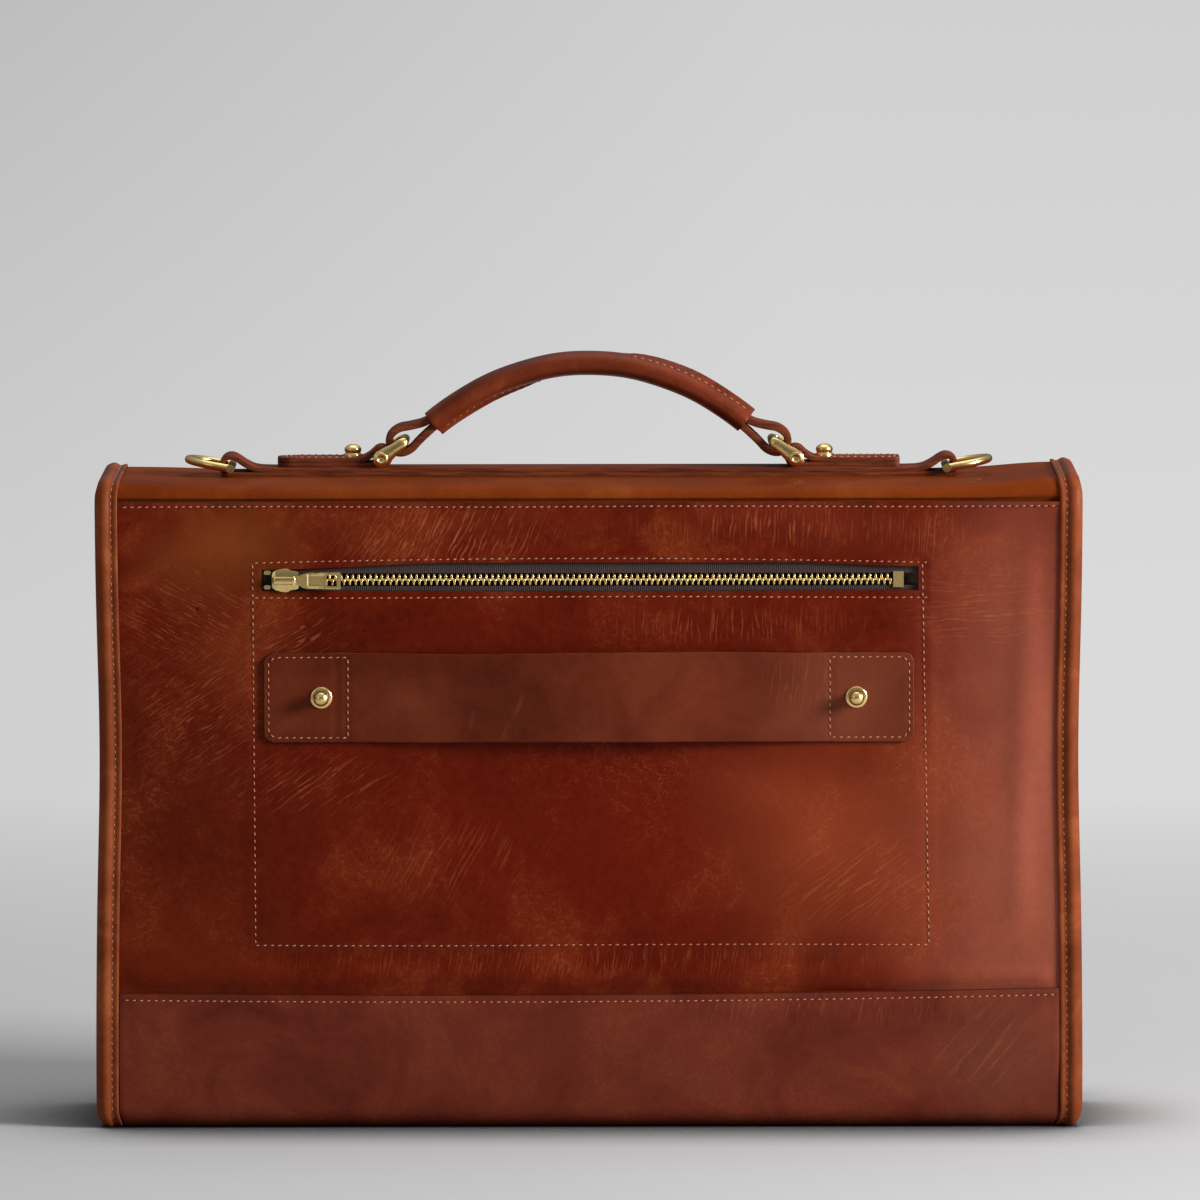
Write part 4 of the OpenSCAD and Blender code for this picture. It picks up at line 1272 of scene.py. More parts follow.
@dataclass
class SideEdges:
    """The bindings along both sides of the bag, over its top and round the flap."""

    binding: Binding
    split: float = 14.0
    plate_half: float = 13.6

    def body_line(self) -> list[tuple[float, float]]:
        """Path from the front's mouth down, under the base, up the back and onto the top.

        Returns:
            Its points in Y and Z.
        """
        r, z = PLAN.base_turn, PLAN.base_z + PLAN.base_turn
        turn = PLAN.top_turn
        line = [(PLAN.front_y, PLAN.mouth_z), (PLAN.front_y, z)]
        line += arc(PLAN.front_y - r, z, r, 0, -90)
        line += arc(PLAN.back_y + r, z, r, 270, 180)
        line += [(PLAN.back_y, 268.0), (PLAN.back_y + 0.2, 272.5), (PLAN.back_in - 0.5, 276.0)]
        line += arc(PLAN.back_in + turn, PLAN.top_z - turn, turn, 165, 90)
        return [*line, (PLAN.back_in + self.split, PLAN.top_z)]

    def flap_side(self) -> list[tuple[float, float]]:
        """Path from the top's back end forwards and down onto the flap's front.

        Returns:
            Its points in Y and Z.
        """
        turn, out = PLAN.top_turn, PLAN.flap_out
        line = [(PLAN.back_in + self.split, PLAN.top_z)]
        line += arc(PLAN.flap_in - turn, PLAN.top_z - turn, turn, 90, 15)
        return [*line, (PLAN.flap_in + 0.6, 276.0), (out - 0.2, 272.5), (out, 269.0), (out, PLAN.mouth_z)]

    def flap_bottom(self) -> tuple[Array, Array, Array]:
        """Follows the flap's sides and its lower edge.

        Returns:
            Places, directions of the edge, and normals of the flap.
        """
        half, r, top = PLAN.half_w, PLAN.flap_corner, PLAN.mouth_z - 2
        turns = ((r - half, 180), (half - r, 270))
        corners = [place for x, start in turns for place in arc(x, PLAN.flap_z + r, r, start, start + 90, 24)]
        flat = resample([(-half, top), *corners, (half, top)], 290)
        tangent = unit(np.gradient(flat, axis=0))
        x, z = flat.T
        places = columns(side_x(x, z), PLAN.flap_out, z)
        return places, columns(tangent[:, 1], 0.0, -tangent[:, 0]), np.tile((0.0, 1.0, 0.0), (len(flat), 1))

    def build(self) -> None:
        """Makes the bindings and their stitches."""
        back = Hinge(("root", "flap_top"), (0, PLAN.back_y, 272), (0, PLAN.back_y, 280), "binding_leather")
        rows = []
        for hand in Hand:
            frames = self.binding.wall_path(self.body_line(), hand)
            count = len(frames[0])
            total = 5.7 - 1.5 * ease(np.arange(count) / count, 0.93, 0.99)
            piece, row = self.binding.sweep(f"side_binding_{hand.side}", frames, total, np.zeros(count))
            back.take(piece, f"binding_{hand.side}")
            rows.append(row)
        back.take(self.binding.stitcher.sew("side_binding_stitches", rows))
        runs = [self.binding.wall_path(self.flap_side(), hand) for hand in Hand]
        parts = zip(runs[0], self.flap_bottom(), runs[1], strict=True)
        frames = [np.vstack([left, low, right[::-1]]) for left, low, right in parts]
        x, _, z = frames[0].T
        near = (1 - ease(np.abs(x), self.plate_half, self.plate_half + 3)) * (z < 120)
        front = Hinge(("flap_top", "flap_front"), (0, PLAN.flap_out, 280), (0, PLAN.flap_out, 272), "binding_leather")
        piece, (row, normals) = self.binding.sweep("flap_binding_leather", frames, np.full(len(x), 4.2), 1.4 * near)
        front.take(piece, "flap_binding", "top_binding_left", "top_binding_right")
        first = np.arange(len(row)) < len(row) // 2
        rows = [(row[half & (near < 0.5)], normals[half & (near < 0.5)]) for half in (first, ~first)]
        front.take(self.binding.stitcher.sew("flap_binding_stitches", rows))


@dataclass
class TopLeather:
    """Leather over the top, whose ends run down behind the panels and bend at the two seams."""

    finishes: Finishes
    hem_z: float = 263.0
    split: float = 15.0
    edge_x: float = 208.0
    set_back: float = 1.5

    def settle(self, x: Array, y: Array, z: Array) -> Array:
        """Lets the flat leather sag between its stiff middle and its seams.

        Args:
            x: Places along X in mm.
            y: Places along Y in mm.
            z: Places along Z in mm.

        Returns:
            The settled places.
        """
        sag = 1.3 * (hump(y, -44, 13) + hump(y, 48, 13)) * (1 - ease(np.abs(x), 120, 190))
        sag *= 0.75 + 0.25 * np.sin(x / 41)
        ripple = 0.25 * np.sin(x / 23 + 0.6) * hump(y, -48, 8)
        return columns(x, y, z + top_lift(x, z) - (sag + ripple) * ease(z, 277, 283))

    def strip(self, name: str, line: Line, rows: int, facing: Sequence[float]) -> Object:
        """Makes one stretch of the leather.

        Args:
            name: Name of the piece.
            line: Its section in Y and Z.
            rows: Cells along the section.
            facing: Direction that its outer face looks in, in its middle.

        Returns:
            The piece.
        """
        path = resample(line, rows + 1)

        def place(u: Array, v: Array) -> Array:
            """The leather's face."""
            return self.settle((2 * u - 1) * self.edge_x, *read_along(path, v).T)

        return make_sheet(name, place, (120, rows), (self.finishes.top, self.finishes.edge), 1.8, facing, bevel=0.0)

    def build(self) -> None:
        """Makes the three stretches."""
        back, front = PLAN.back_in, PLAN.flap_in
        turn, low = PLAN.top_turn, PLAN.seam_z + 0.5
        section = [(self.set_back, self.hem_z), (self.set_back, low), (0.1, low + 1.2)]
        section += [*arc(turn, PLAN.top_z - turn, turn, 165, 90), (self.split, PLAN.top_z)]
        piece = self.strip("back_hinge_leather", [(back + y, z) for y, z in section], 30, (0, -1, 1))
        hinge = Hinge(("root", "flap_top"), (0, back, 273.5), (0, back, 279.5), "top_leather")
        hinge.take(piece, "back_seam_hem")
        flat = [(back + self.split, PLAN.top_z), (front - self.split, PLAN.top_z)]
        seat(self.strip("top_leather", flat, 40, (0, 0, 1)), "flap_top", "top_leather", "top_panel")
        piece = self.strip("front_hinge_leather", [(front - y, z) for y, z in section[::-1]], 30, (0, 1, 1))
        hinge = Hinge(("flap_top", "flap_front"), (0, front, 279.5), (0, front, 273.5), "top_leather")
        hinge.take(piece, "flap_hem")


@dataclass
class Ribbon:
    """A strap of leather that follows a path in the XZ plane."""

    skins: tuple[Material, Material]
    width: float
    thickness: float
    step: float = 1.3

    def make(self, name: str, line: Array, round_ends: float = 0.0, closed: bool = False) -> Object:
        """Lays the strap along its path.

        Args:
            name: Name of the piece.
            line: The middle of the strap in X and Z.
            round_ends: Radius of its ends seen from above, in mm.
            closed: Joins its two ends.

        Returns:
            The piece.
        """
        total = lengths(line)[-1]
        rows = max(8, round(total / self.step))
        path = resample(line, rows + 1)

        def place(u: Array, v: Array) -> Array:
            """The strap's middle layer.

            Args:
                u: Shares across the strap.
                v: Shares along its path.

            Returns:
                The places in mm.
            """
            x, z = read_along(path, v).T
            half = np.full_like(v, self.width / 2)
            if round_ends:
                left = np.clip(round_ends - np.minimum(v, 1 - v) * total, 0, round_ends)
                half += np.sqrt(np.maximum(round_ends**2 - left**2, 0.09)) - round_ends
            return columns(x, PLAN.mid_y + (2 * u - 1) * half, z)

        return make_sheet(name, place, (10, rows), self.skins, self.thickness, bevel=0.45, offset=0.0, closed=closed)


@dataclass
class TopStraps:
    """Base strap with its ring loops, and the tabs that hold the handle's shackles."""

    finishes: Finishes
    stitcher: Stitcher
    ring_x: float = 157.6
    ring_r: float = 3.9
    layer: float = 1.9
    pin_x: float = 91.2
    tab_z: float = 287.9
    tab_r: float = 3.7
    tab_layer: float = 2.2
    tab_end: float = 137.0
    tab_w: float = 20.0

    def strap_line(self) -> Array:
        """Path of the base strap: along its lower layer, round a ring, back along the upper one.

        Returns:
            Its points in X and Z, closed.
        """
        low, high = PLAN.top_z + self.layer / 2, PLAN.top_z + self.layer * 1.5
        x, z = self.ring_x, low + self.ring_r
        turn = arc(x, z, self.ring_r, -90, 125, 26)
        knuckle = rounded([(x - 3.4, z + 2.6), (x - 6.5, z + 0.4), (x - 11, high + 0.25), (x - 18, high)])
        half = [(0.0, low), (x - 12, low), *turn, *knuckle]
        return np.array([*half, (0.0, high), *((-x, z) for x, z in half[::-1])])

    def tab_line(self, hand: Hand) -> Array:
        """Path of a tab: along its lower layer, round the shackle's pin and back.

        Args:
            hand: The tab's side.

        Returns:
            Its points in X and Z.
        """
        low, high, x, z = self.tab_z, self.tab_z + self.tab_layer, self.pin_x, self.tab_z + self.tab_r
        turn = arc(x, z, self.tab_r, 270, 55, 24)
        knuckle = rounded([(x + 3.2, z + 1.9), (x + 5.2, z + 0.2), (x + 8, high + 0.2), (x + 12, high)])
        return np.array([(self.tab_end, low), (x + 3, low), *turn, *knuckle, (self.tab_end, high)]) * (hand.value, 1)

    def build(self) -> None:
        """Makes the strap, the tabs and their stitches."""
        skins = (self.finishes.strap, self.finishes.strap_edge)
        strap = Ribbon(skins, 24, self.layer + 0.4).make("top_strap", self.strap_line(), closed=True)
        seat(strap, "flap_top", "strap_leather", "base_strap")
        rows = []
        for hand, round_ends, inset in ((Hand.LEFT, 7.0, 7.0), (Hand.RIGHT, 1.5, 2.0)):
            ribbon = Ribbon(skins, self.tab_w, self.tab_layer + 0.3)
            tab = ribbon.make(f"shackle_tab_{hand.side}", self.tab_line(hand), round_ends)
            seat(tab, "flap_top", "strap_leather", f"handle_tab_{hand.side}")
            x0, x1, y = 103.5, self.tab_end - 2.2, self.tab_w / 2 - 2.0
            corner = [(x0, -y), (x1 - inset, -y), (x1, inset - y), (x1, y - inset), (x1 - inset, y), (x0, y)]
            x, y = resample(corner, 60).T
            top = self.tab_z + self.tab_layer * 1.5 + 0.12
            rows.append((columns(hand.value * x, PLAN.mid_y + y, top), (0, 0, 1)))
        seat(self.stitcher.sew("tab_stitches", rows, 3.0), "flap_top", "strap_leather")


@dataclass
class Handle:
    """Carry handle: a strap folded round a shackle at each end, inside a sewn leather grip."""

    finishes: Finishes
    stitcher: Stitcher
    radius: float = 107.0
    centre_z: float = 224.3
    half_angle: float = 40.0
    half_w: float = 11.0
    half_t: float = 5.1
    peak: float = 1.2
    eye: tuple[float, float] = (82.0, 298.7)
    loop: tuple[tuple[float, float], ...] = ((-5.6, 3.9), (-1.8, 5.4), (2.4, 5.1), (5.2, 3.2), (5.8, 0.0))

    def on_arch(self, angle: Array | float, reach: Array | float) -> tuple[Array | float, Array | float]:
        """X and Z of a place on the handle's arch."""
        return np.sin(angle) * reach, self.centre_z + np.cos(angle) * reach

    def grip_surface(self, u: Array, v: Array) -> Array:
        """Outer face of the grip, whose sewn lip wanders from the underside at the left to the top at the right.

        Args:
            u: Shares along the grip.
            v: Shares round it.

        Returns:
            The places in mm.
        """
        angle = np.radians((2 * u - 1) * self.half_angle)
        turn = v * math.tau
        c, s = np.cos(turn), np.sin(turn)
        seam = -math.pi / 2 + math.pi * ease(u, 0.12, 0.88)
        away = np.abs((turn - seam + math.pi) % math.tau - math.pi)
        raised = 2.0 * np.exp(-((away / 0.13) ** 4)) - 0.35 * hump(away, 0.27, 0.07)
        across = self.half_w * np.sign(c) * np.abs(c) ** 0.85 + raised * c * 0.9
        radial = self.half_t * np.sign(s) * np.abs(s) ** 0.8 + raised * s
        swell = 1 + 0.04 * np.sin(u * math.pi) + 0.015 * np.sin(u * 31 + v * 6)
        reach = self.radius + radial * swell + self.peak * np.exp(-((angle / 0.4) ** 2))
        x, z = self.on_arch(angle, reach)
        return columns(x, PLAN.mid_y + across, z)

    def sew_grip(self) -> None:
        """Sews the grip's lip on the side that is seen."""
        rows = []
        for start, end, turn in ((0.02, 0.36, 1.56 * math.pi - 0.42), (0.62, 0.98, 0.5 * math.pi + 0.42)):
            u = np.linspace(start, end, 40)
            v = np.full_like(u, turn / math.tau)
            points = self.grip_surface(u, v)
            ahead, beside = self.grip_surface(u + 0.004, v) - points, self.grip_surface(u, v + 0.01) - points
            normals = unit(np.cross(ahead, beside))
            centre = np.array([0.0, PLAN.mid_y, self.centre_z])
            middle = centre + unit((points - centre) * (1, 0, 1)) * self.radius
            flip = np.sign(np.sum(normals * (points - middle), axis=1))[:, None]
            rows.append((points, normals * flip))
        seat(self.stitcher.sew("grip_stitches", rows, 3.4), "handle", "grip_leather")

    def strap_line(self, hand: Hand) -> Array:
        """Path of the strap's folded end: out on its upper layer, round the shackle's bow, back on the lower one.

        Args:
            hand: The end's side.

        Returns:
            Its points in X and Z.
        """
        inner, end = math.radians(self.half_angle - 5), math.radians(self.half_angle + 0.6)
        eye = np.array(self.eye)
        along = eye - self.on_arch(end, self.radius)
        along /= np.linalg.norm(along)
        up = np.array([-along[1], along[0]])
        upper, lower = self.radius + 1.65, self.radius - 1.65
        loop = [*self.loop, *((a, -b) for a, b in self.loop[-2::-1])]
        line = [
            *(self.on_arch(angle, upper) for angle in (inner, end)),
            *(eye + a * along + b * up for a, b in loop),
            *(self.on_arch(angle, lower) for angle in (end, inner)),
        ]
        return rounded(line) * (hand.value, 1)

    def build(self) -> None:
        """Makes the grip and the strap's two ends."""
        skins = (self.finishes.grip, self.finishes.edge)
        test = {"facing": (0, 0, 1), "probe": (0.5, 0.25)}
        grip = make_sheet("hand_grip", self.grip_surface, (96, 72), skins, 1.5, **test, bevel=0.3, closed=True)
        seat(grip, "handle", "grip_leather", "handle_grip")
        self.sew_grip()
        for hand, nodes in zip(Hand, (["handle_strap"], []), strict=True):
            skins = (self.finishes.strap, self.finishes.strap_edge)
            end = Ribbon(skins, 17, 3.2, 0.8).make(f"handle_strap_end_{hand.side}", self.strap_line(hand))
            seat(end, "handle", "strap_leather", *nodes)


@dataclass
class TrolleySleeve:
    """Strap sewn across the back at both ends, bowed out between them."""

    wall: BackWall
    half: float = 142.0
    free: float = 105.0
    bow: float = 6.5
    z0: float = 170.0
    z1: float = 209.0
    corner: float = 4.0

    def outer(self, x: Array, z: Array) -> Array:
        """Y of the sleeve's outer face.

        Args:
            x: Places along X in mm.
            z: Places along Z in mm.

        Returns:
            Y at each place, in mm.
        """
        out = np.abs(x)
        rise = self.bow * (0.5 + 0.5 * np.cos(np.clip(out / self.free, 0, 1) * math.pi)) ** 0.8
        wave = (0.35 * np.sin(x / 17 + 0.5) + 0.3 * np.sin(z / 7 + x / 40)) * ease(rise, 0.3, 3)
        sewn = 0.3 * (hump(out, 105.5, 1.3) + hump(out, 140.2, 1.0)) * ease(out, 103, 106)
        sewn += 0.3 * (hump(z, self.z0 + 2, 1.0) + hump(z, self.z1 - 2, 1.0)) * ease(out, 104, 106)
        return PLAN.back_y - 1.85 - rise - wave + sewn + 0.4 * hump(x, -110.5, 0.8)

    def surface(self, u: Array, v: Array) -> Array:
        """Outer face of the sleeve, with rounded corners.

        Args:
            u: Shares along the sleeve.
            v: Shares across it.

        Returns:
            The places in mm.
        """
        z = self.z0 + v * (self.z1 - self.z0)
        near = np.clip(self.corner - np.minimum(z - self.z0, self.z1 - z), 0, self.corner)
        x = (2 * u - 1) * (self.half - self.corner + np.sqrt(self.corner**2 - near**2 + 1e-6))
        sag = 0.5 * np.sin(x / 52 + 0.9) + 0.4 * (v - 0.5) * np.sin(x / 33)
        return columns(x, self.outer(x, z), z + sag * ease(self.free - np.abs(x), 0, 60))

    def build(self) -> None:
        """Makes the sleeve and sews its ends."""
        skins = (self.wall.finishes.sleeve, self.wall.finishes.strap_edge)
        piece = make_sheet("trolley_sleeve_leather", self.surface, (180, 30), skins, 1.8, (0, -1, 0), bevel=0.45)
        seat(piece, "root", "sleeve_leather", "trolley_sleeve")
        rows = []
        a, b, c, d = 105.4, self.half - 1.9, self.z0 + 1.9, self.z1 - 1.9
        corner = [(a, c), (b - 2.5, c), (b, c + 2.5), (b, d - 2.5), (b - 2.5, d), (a, d), (a, c)]
        for hand in Hand:
            x, z = resample(np.array(corner) * (hand.value, 1), 140).T
            rows.append((columns(x, self.outer(x, z), z), (0, -1, 0)))
        seat(self.wall.stitcher.sew("sleeve_stitches", rows), "root", "sleeve_leather")


@dataclass
class RearZip:
    """Metal zip in the back panel's window."""

    finishes: Finishes
    middle: float = 241.0
    tooth_pitch: float = 2.54
    first_x: float = -133.6
    last_x: float = 132.0

    def tape(self, node: str) -> Object:
        """Weaves one of the tapes.

        Args:
            node: The tape's node.

        Returns:
            The piece.
        """
        low, high = box_mm(node)

        def place(u: Array, v: Array) -> Array:
            """The tape's face."""
            x, z = low[0] + u * (high[0] - low[0]), low[2] + v * (high[2] - low[2])
            return columns(x, low[1] + 0.12 * np.sin(x / 9) * np.abs(z - self.middle) / 12, z)

        skins, thickness = (self.finishes.tape,), high[1] - low[1]
        return make_sheet(f"{node}_cloth", place, (90, 6), skins, thickness, (0, -1, 0), bevel=0.0)

    def tooth(self) -> Pattern:
        """Models one tooth: a stem over the tape and a broader cupped head.

        Returns:
            The pattern, with its head along +Z.
        """
        bpy.ops.object.select_all(action="DESELECT")
        bpy.ops.mesh.primitive_cube_add(size=1)
        piece = bpy.context.active_object
        edit_all(piece, bpy.ops.mesh.subdivide, number_cuts=1)
        points = read_points(piece)
        height = points[:, 2]
        points[:, 0] *= np.where(height > 0.25, 1.5, np.where(height < -0.25, 0.85, 1.0))
        points[:, 1] *= np.where(np.abs(height) > 0.25, 2.1, 2.7)
        points[:, 2] *= 2.9
        piece.data.vertices.foreach_set("co", points.ravel())
        bevel_edges(piece, 0.16, 1)
        return Pattern.taken(piece)

    def slider(self) -> Object:
        """Models the slider: a domed shield with a bridge over it.

        Returns:
            The piece.
        """
        skins = (self.finishes.brass,)
        along = (-138.4, -138.0, -136.8, -134.5, -132.6, -131.4, -130.2, -127.6, -126.8)
        reach = (2.6, 3.6, 4.3, 4.9, 5.2, 5.0, 4.3, 3.9, 3.4)

        def shield(u: Array, v: Array) -> Array:
            """The shield's face."""
            x = along[0] + (along[-1] - along[0]) * u
            z = (2 * v - 1) * np.interp(x, along, reach)
            return columns(x, -56.1 + 0.7 * (z / 5.4) ** 2 - 0.5 * ease(u, 0, 0.15), self.middle + z)

        body = make_sheet("slider", shield, (28, 16), skins, 2.3, (0, -1, 0))
        x = np.linspace(-138.2, -127.6, 22)
        rise = np.clip(np.minimum(x + 138.6, -127.2 - x) / 2.2, 0, 1)
        line = columns(x, -56.0 - 1.6 * np.sqrt(1 - (1 - rise) ** 2), self.middle)
        halves = np.tile((1.75, 0.95), (len(x), 1))
        halves[[0, -1]] *= 0.6
        bridge = make_tube("bridge", line, (0, 0, 1), (0, -1, 0), halves, skins, 20, 0.7)
        return join_pieces("zip_slider_body", [body, bridge])

    def pull(self) -> Object:
        """Models the pull: a flat plate with a raised rim, a bare panel and a hole.

        Returns:
            The piece.
        """
        skins = (self.finishes.brass,)
        along, reach = (-127.6, -126.4, -124.6, -122.5, -110.0, -108.4), (2.0, 2.1, 3.1, 3.5, 3.75, 3.7)
        x0, x1 = along[0], along[-1]
        bare = (-122.6, -115.6, -2.5, 2.5)

        def plate(u: Array, v: Array) -> Array:
            """The plate's face."""
            x = x0 + u * (x1 - x0)
            z = (2 * v - 1) * np.interp(x, along, reach)
            return columns(x, -58.35 + 0.4 * in_box(x, z, bare, 0.35), self.middle + z)

        def hole(centres: Array) -> Array:
            """Tells which cells lie in the hole."""
            x = x0 + (centres[:, 0] + 1) / 2 * (x1 - x0)
            return (x > -114.7) & (x < -110.1) & (np.abs(centres[:, 1]) < 0.66)

        flat = make_sheet("pull", plate, (56, 22), skins, 1.5, (0, -1, 0), (0.1, 0.5), bevel=0.25, window=hole)
        line = columns(-129.3, -57.45, self.middle + np.linspace(-1.9, 1.9, 5))
        knuckle = make_tube("knuckle", line, (1, 0, 0), (0, 1, 0), (0.95, 0.95), skins, 16)
        line = columns(np.linspace(-129.3, -127.0, 4), -57.55, self.middle)
        neck = make_tube("neck", line, (0, 0, 1), (0, 1, 0), (1.9, 0.7), skins, 16, 0.6)
        return join_pieces("zip_pull_plate", [flat, knuckle, neck])

    def build(self) -> None:
        """Makes the tapes, the teeth, the slider and its pull."""
        seat(self.slider(), "zip_slider", "brass", "zip_slider")
        seat(self.pull(), "zip_pull", "brass", "zip_pull")
        for node in ("zip_tape_upper", "zip_tape_lower"):
            seat(self.tape(node), "root", "zip_tape", node)
        tooth = self.tooth()
        for node, side, shift in (("zip_teeth_upper", 1.0, 0.0), ("zip_teeth_lower", -1.0, 0.5)):
            low, high = box_mm(node)
            x = np.arange(self.first_x + shift * self.tooth_pitch, self.last_x, self.tooth_pitch)
            origin = columns(x, (low[1] + high[1]) / 2, self.middle + side * 1.0)
            along, up = (np.tile(way, (len(x), 1)) for way in ((side, 0.0, 0.0), (0.0, 0.0, -side)))
            piece = repeat(f"{node}_brass", (tooth,), ((origin, along, up),), (self.finishes.brass,))
            seat(piece, "root", "brass", node)


@dataclass
class FrontWall:
    """Front panel with its pocket, which the flap covers."""

    finishes: Finishes
    stitcher: Stitcher
    pocket_half: float = 170.0
    pocket_z0: float = 70.0
    pocket_z1: float = 238.0
    pocket_d: float = 10.0
    corner: float = 12.0

    def panel(self, u: Array, v: Array) -> Array:
        """Outer face of the front panel.

        Args:
            u: Shares across the bag.
            v: Shares of the height.

        Returns:
            The places in mm.
        """
        low = 48.3
        x, z = (2 * u - 1) * PLAN.panel_x, low + v * (PLAN.mouth_z - low)
        calm = 1 - in_box(x, z, (-172, 172, 68, 240), 8)
        soft = (0.5 * np.sin(x / 34) * np.sin(z / 29) + 0.4) * calm * (1 - ease(np.abs(x), 190, 204))
        return columns(side_x(x, z), PLAN.front_y + soft * ease(z, 60, 80), z)

    def pocket(self, u: Array, v: Array) -> Array:
        """Outer face of the pocket, standing out from its sewn border.

        Args:
            u: Shares across the pocket.
            v: Shares of its height.

        Returns:
            The places in mm.
        """
        across = read_along(stretches(0, (0.03, 6), (0.97, 60), (1, 6)), u)
        rise = read_along(stretches(0, (0.06, 6), (1, 39)), v)
        x = (2 * across - 1) * self.pocket_half
        z = self.pocket_z0 + rise * (self.pocket_z1 - self.pocket_z0)
        near = np.clip(self.corner - (z - self.pocket_z0), 0, self.corner)
        x = x * (1 - (self.corner - np.sqrt(self.corner**2 - near**2)) / self.pocket_half)
        inside = np.minimum(np.minimum(self.pocket_half - np.abs(x), z - self.pocket_z0), 40)
        calm = 1 - in_box(x, z, (-14, 14, 68, 110), 10)
        sewn = 1.9
        height = sewn + (self.pocket_d - sewn) * ease(inside, 3.0, 6.5) - 0.5 * hump(z, 170, 50) * hump(x, 0, 90) * calm
        return columns(x, PLAN.front_y + height, z)

    def build(self) -> None:
        """Makes the panel, the pocket and the pocket's stitches."""
        skins, facing = (self.finishes.panel, self.finishes.edge), (0, 1, 0)
        piece = make_sheet("front_leather", self.panel, (110, 60), skins, 1.8, facing)
        seat(piece, "root", "panel_leather", "front_panel")
        piece = make_sheet("front_pocket_leather", self.pocket, (72, 46), skins, 1.7, facing)
        seat(piece, "root", "panel_leather", "front_pocket")
        half, z0, z1 = self.pocket_half - 1.6, self.pocket_z0 + 1.6, self.pocket_z1 - 3
        r = self.corner - 1.6
        turns = [*arc(r - half, z0 + r, r, 180, 270), *arc(half - r, z0 + r, r, 270, 360)]
        x, z = resample([(-half, z1), (-half, z0 + r), *turns, (half, z1)], 260).T
        rows = [(columns(x, PLAN.front_y + 1.95, z), facing)]
        seat(self.stitcher.sew("front_pocket_stitches", rows), "root", "panel_leather")


@dataclass
class Inside:
    """Gussets, divider and the zip pocket's cloth bag."""

    finishes: Finishes

    def gusset(self, hand: Hand) -> Object:
        """Makes a gusset with its two sewn borders and a soft valley fold.

        Args:
            hand: The side of the bag.

        Returns:
            The piece.
        """
        y0, y1 = PLAN.back_in, PLAN.front_y - 1.8
        bend = [(214.6, 0.4), (206.0, 0.4), (203.6, 3.0), (203.0, 9)]
        path = resample(rounded([*((x, y0 + y) for x, y in bend), *((x, y1 - y) for x, y in bend[::-1])]), 61)

        def place(u: Array, v: Array) -> Array:
            """The gusset's face.

            Args:
                u: Shares along its section.
                v: Shares of its height.

            Returns:
                The places in mm.
            """
            x, y = read_along(path, u).T
            z = 3.2 + v * (PLAN.mouth_z - 3.4)
            fold = 3.6 * hump(y, (y0 + y1) / 2, 15) * ease(z, 30, 250) * ease(x, 215, 203.2)
            return columns(hand.value * (x - fold - sway(z) * ease(x, 203, 207)), y, z)

        skins = (self.finishes.panel, self.finishes.edge)
        return make_sheet(f"gusset_leather_{hand.side}", place, (60, 70), skins, 1.4, (hand.value, 0, 0))

    def divider(self) -> Object:
        """Makes the divider, whose sides stand back from the gussets' valleys.

        Returns:
            The piece.
        """
        low, high = box_mm("divider")

        def place(u: Array, v: Array) -> Array:
            """The divider's face."""
            z = low[2] + v * (high[2] - low[2])
            x = (2 * u - 1) * (high[0] - 0.4 - 4.2 * ease(z, 20, 200))
            return columns(x, high[1] + 0.6 * np.sin(x / 60) * v, z)

        skins = (self.finishes.lining, self.finishes.edge)
        return make_sheet("divider_cloth", place, (60, 40), skins, 1.8, (0, 1, 0))

    def pouch(self) -> Object:
        """Makes the zip pocket's bag, which is flat at its rim.

        Returns:
            The piece.
        """
        low, high = box_mm("pocket_pouch")

        def place(u: Array, v: Array) -> Array:
            """The bag's face.

            Args:
                u: Shares across it.
                v: Shares of its height.

            Returns:
                The places in mm.
            """
            x, z = low[0] + u * (high[0] - low[0]), low[2] + v * (high[2] - low[2])
            rim = np.minimum(np.minimum(x - low[0], high[0] - x), np.minimum(z - low[2], high[2] - z))
            depth = (high[1] - low[1]) * (0.14 + 0.86 * ease(rim, 0, 22)) - 1.2 * hump(z, 190, 30) * hump(x, 20, 60)
            return columns(x, low[1] + depth, z)

        return make_sheet("zip_pocket_cloth", place, (90, 60), (self.finishes.lining,), 0.8, (0, 1, 0), bevel=0.0)

    def build(self) -> None:
        """Makes the pieces inside the bag."""
        for hand in Hand:
            seat(self.gusset(hand), "root", "panel_leather", f"gusset_{hand.side}")
        seat(self.divider(), "root", "lining_cloth", "divider")
        seat(self.pouch(), "root", "lining_cloth", "pocket_pouch")


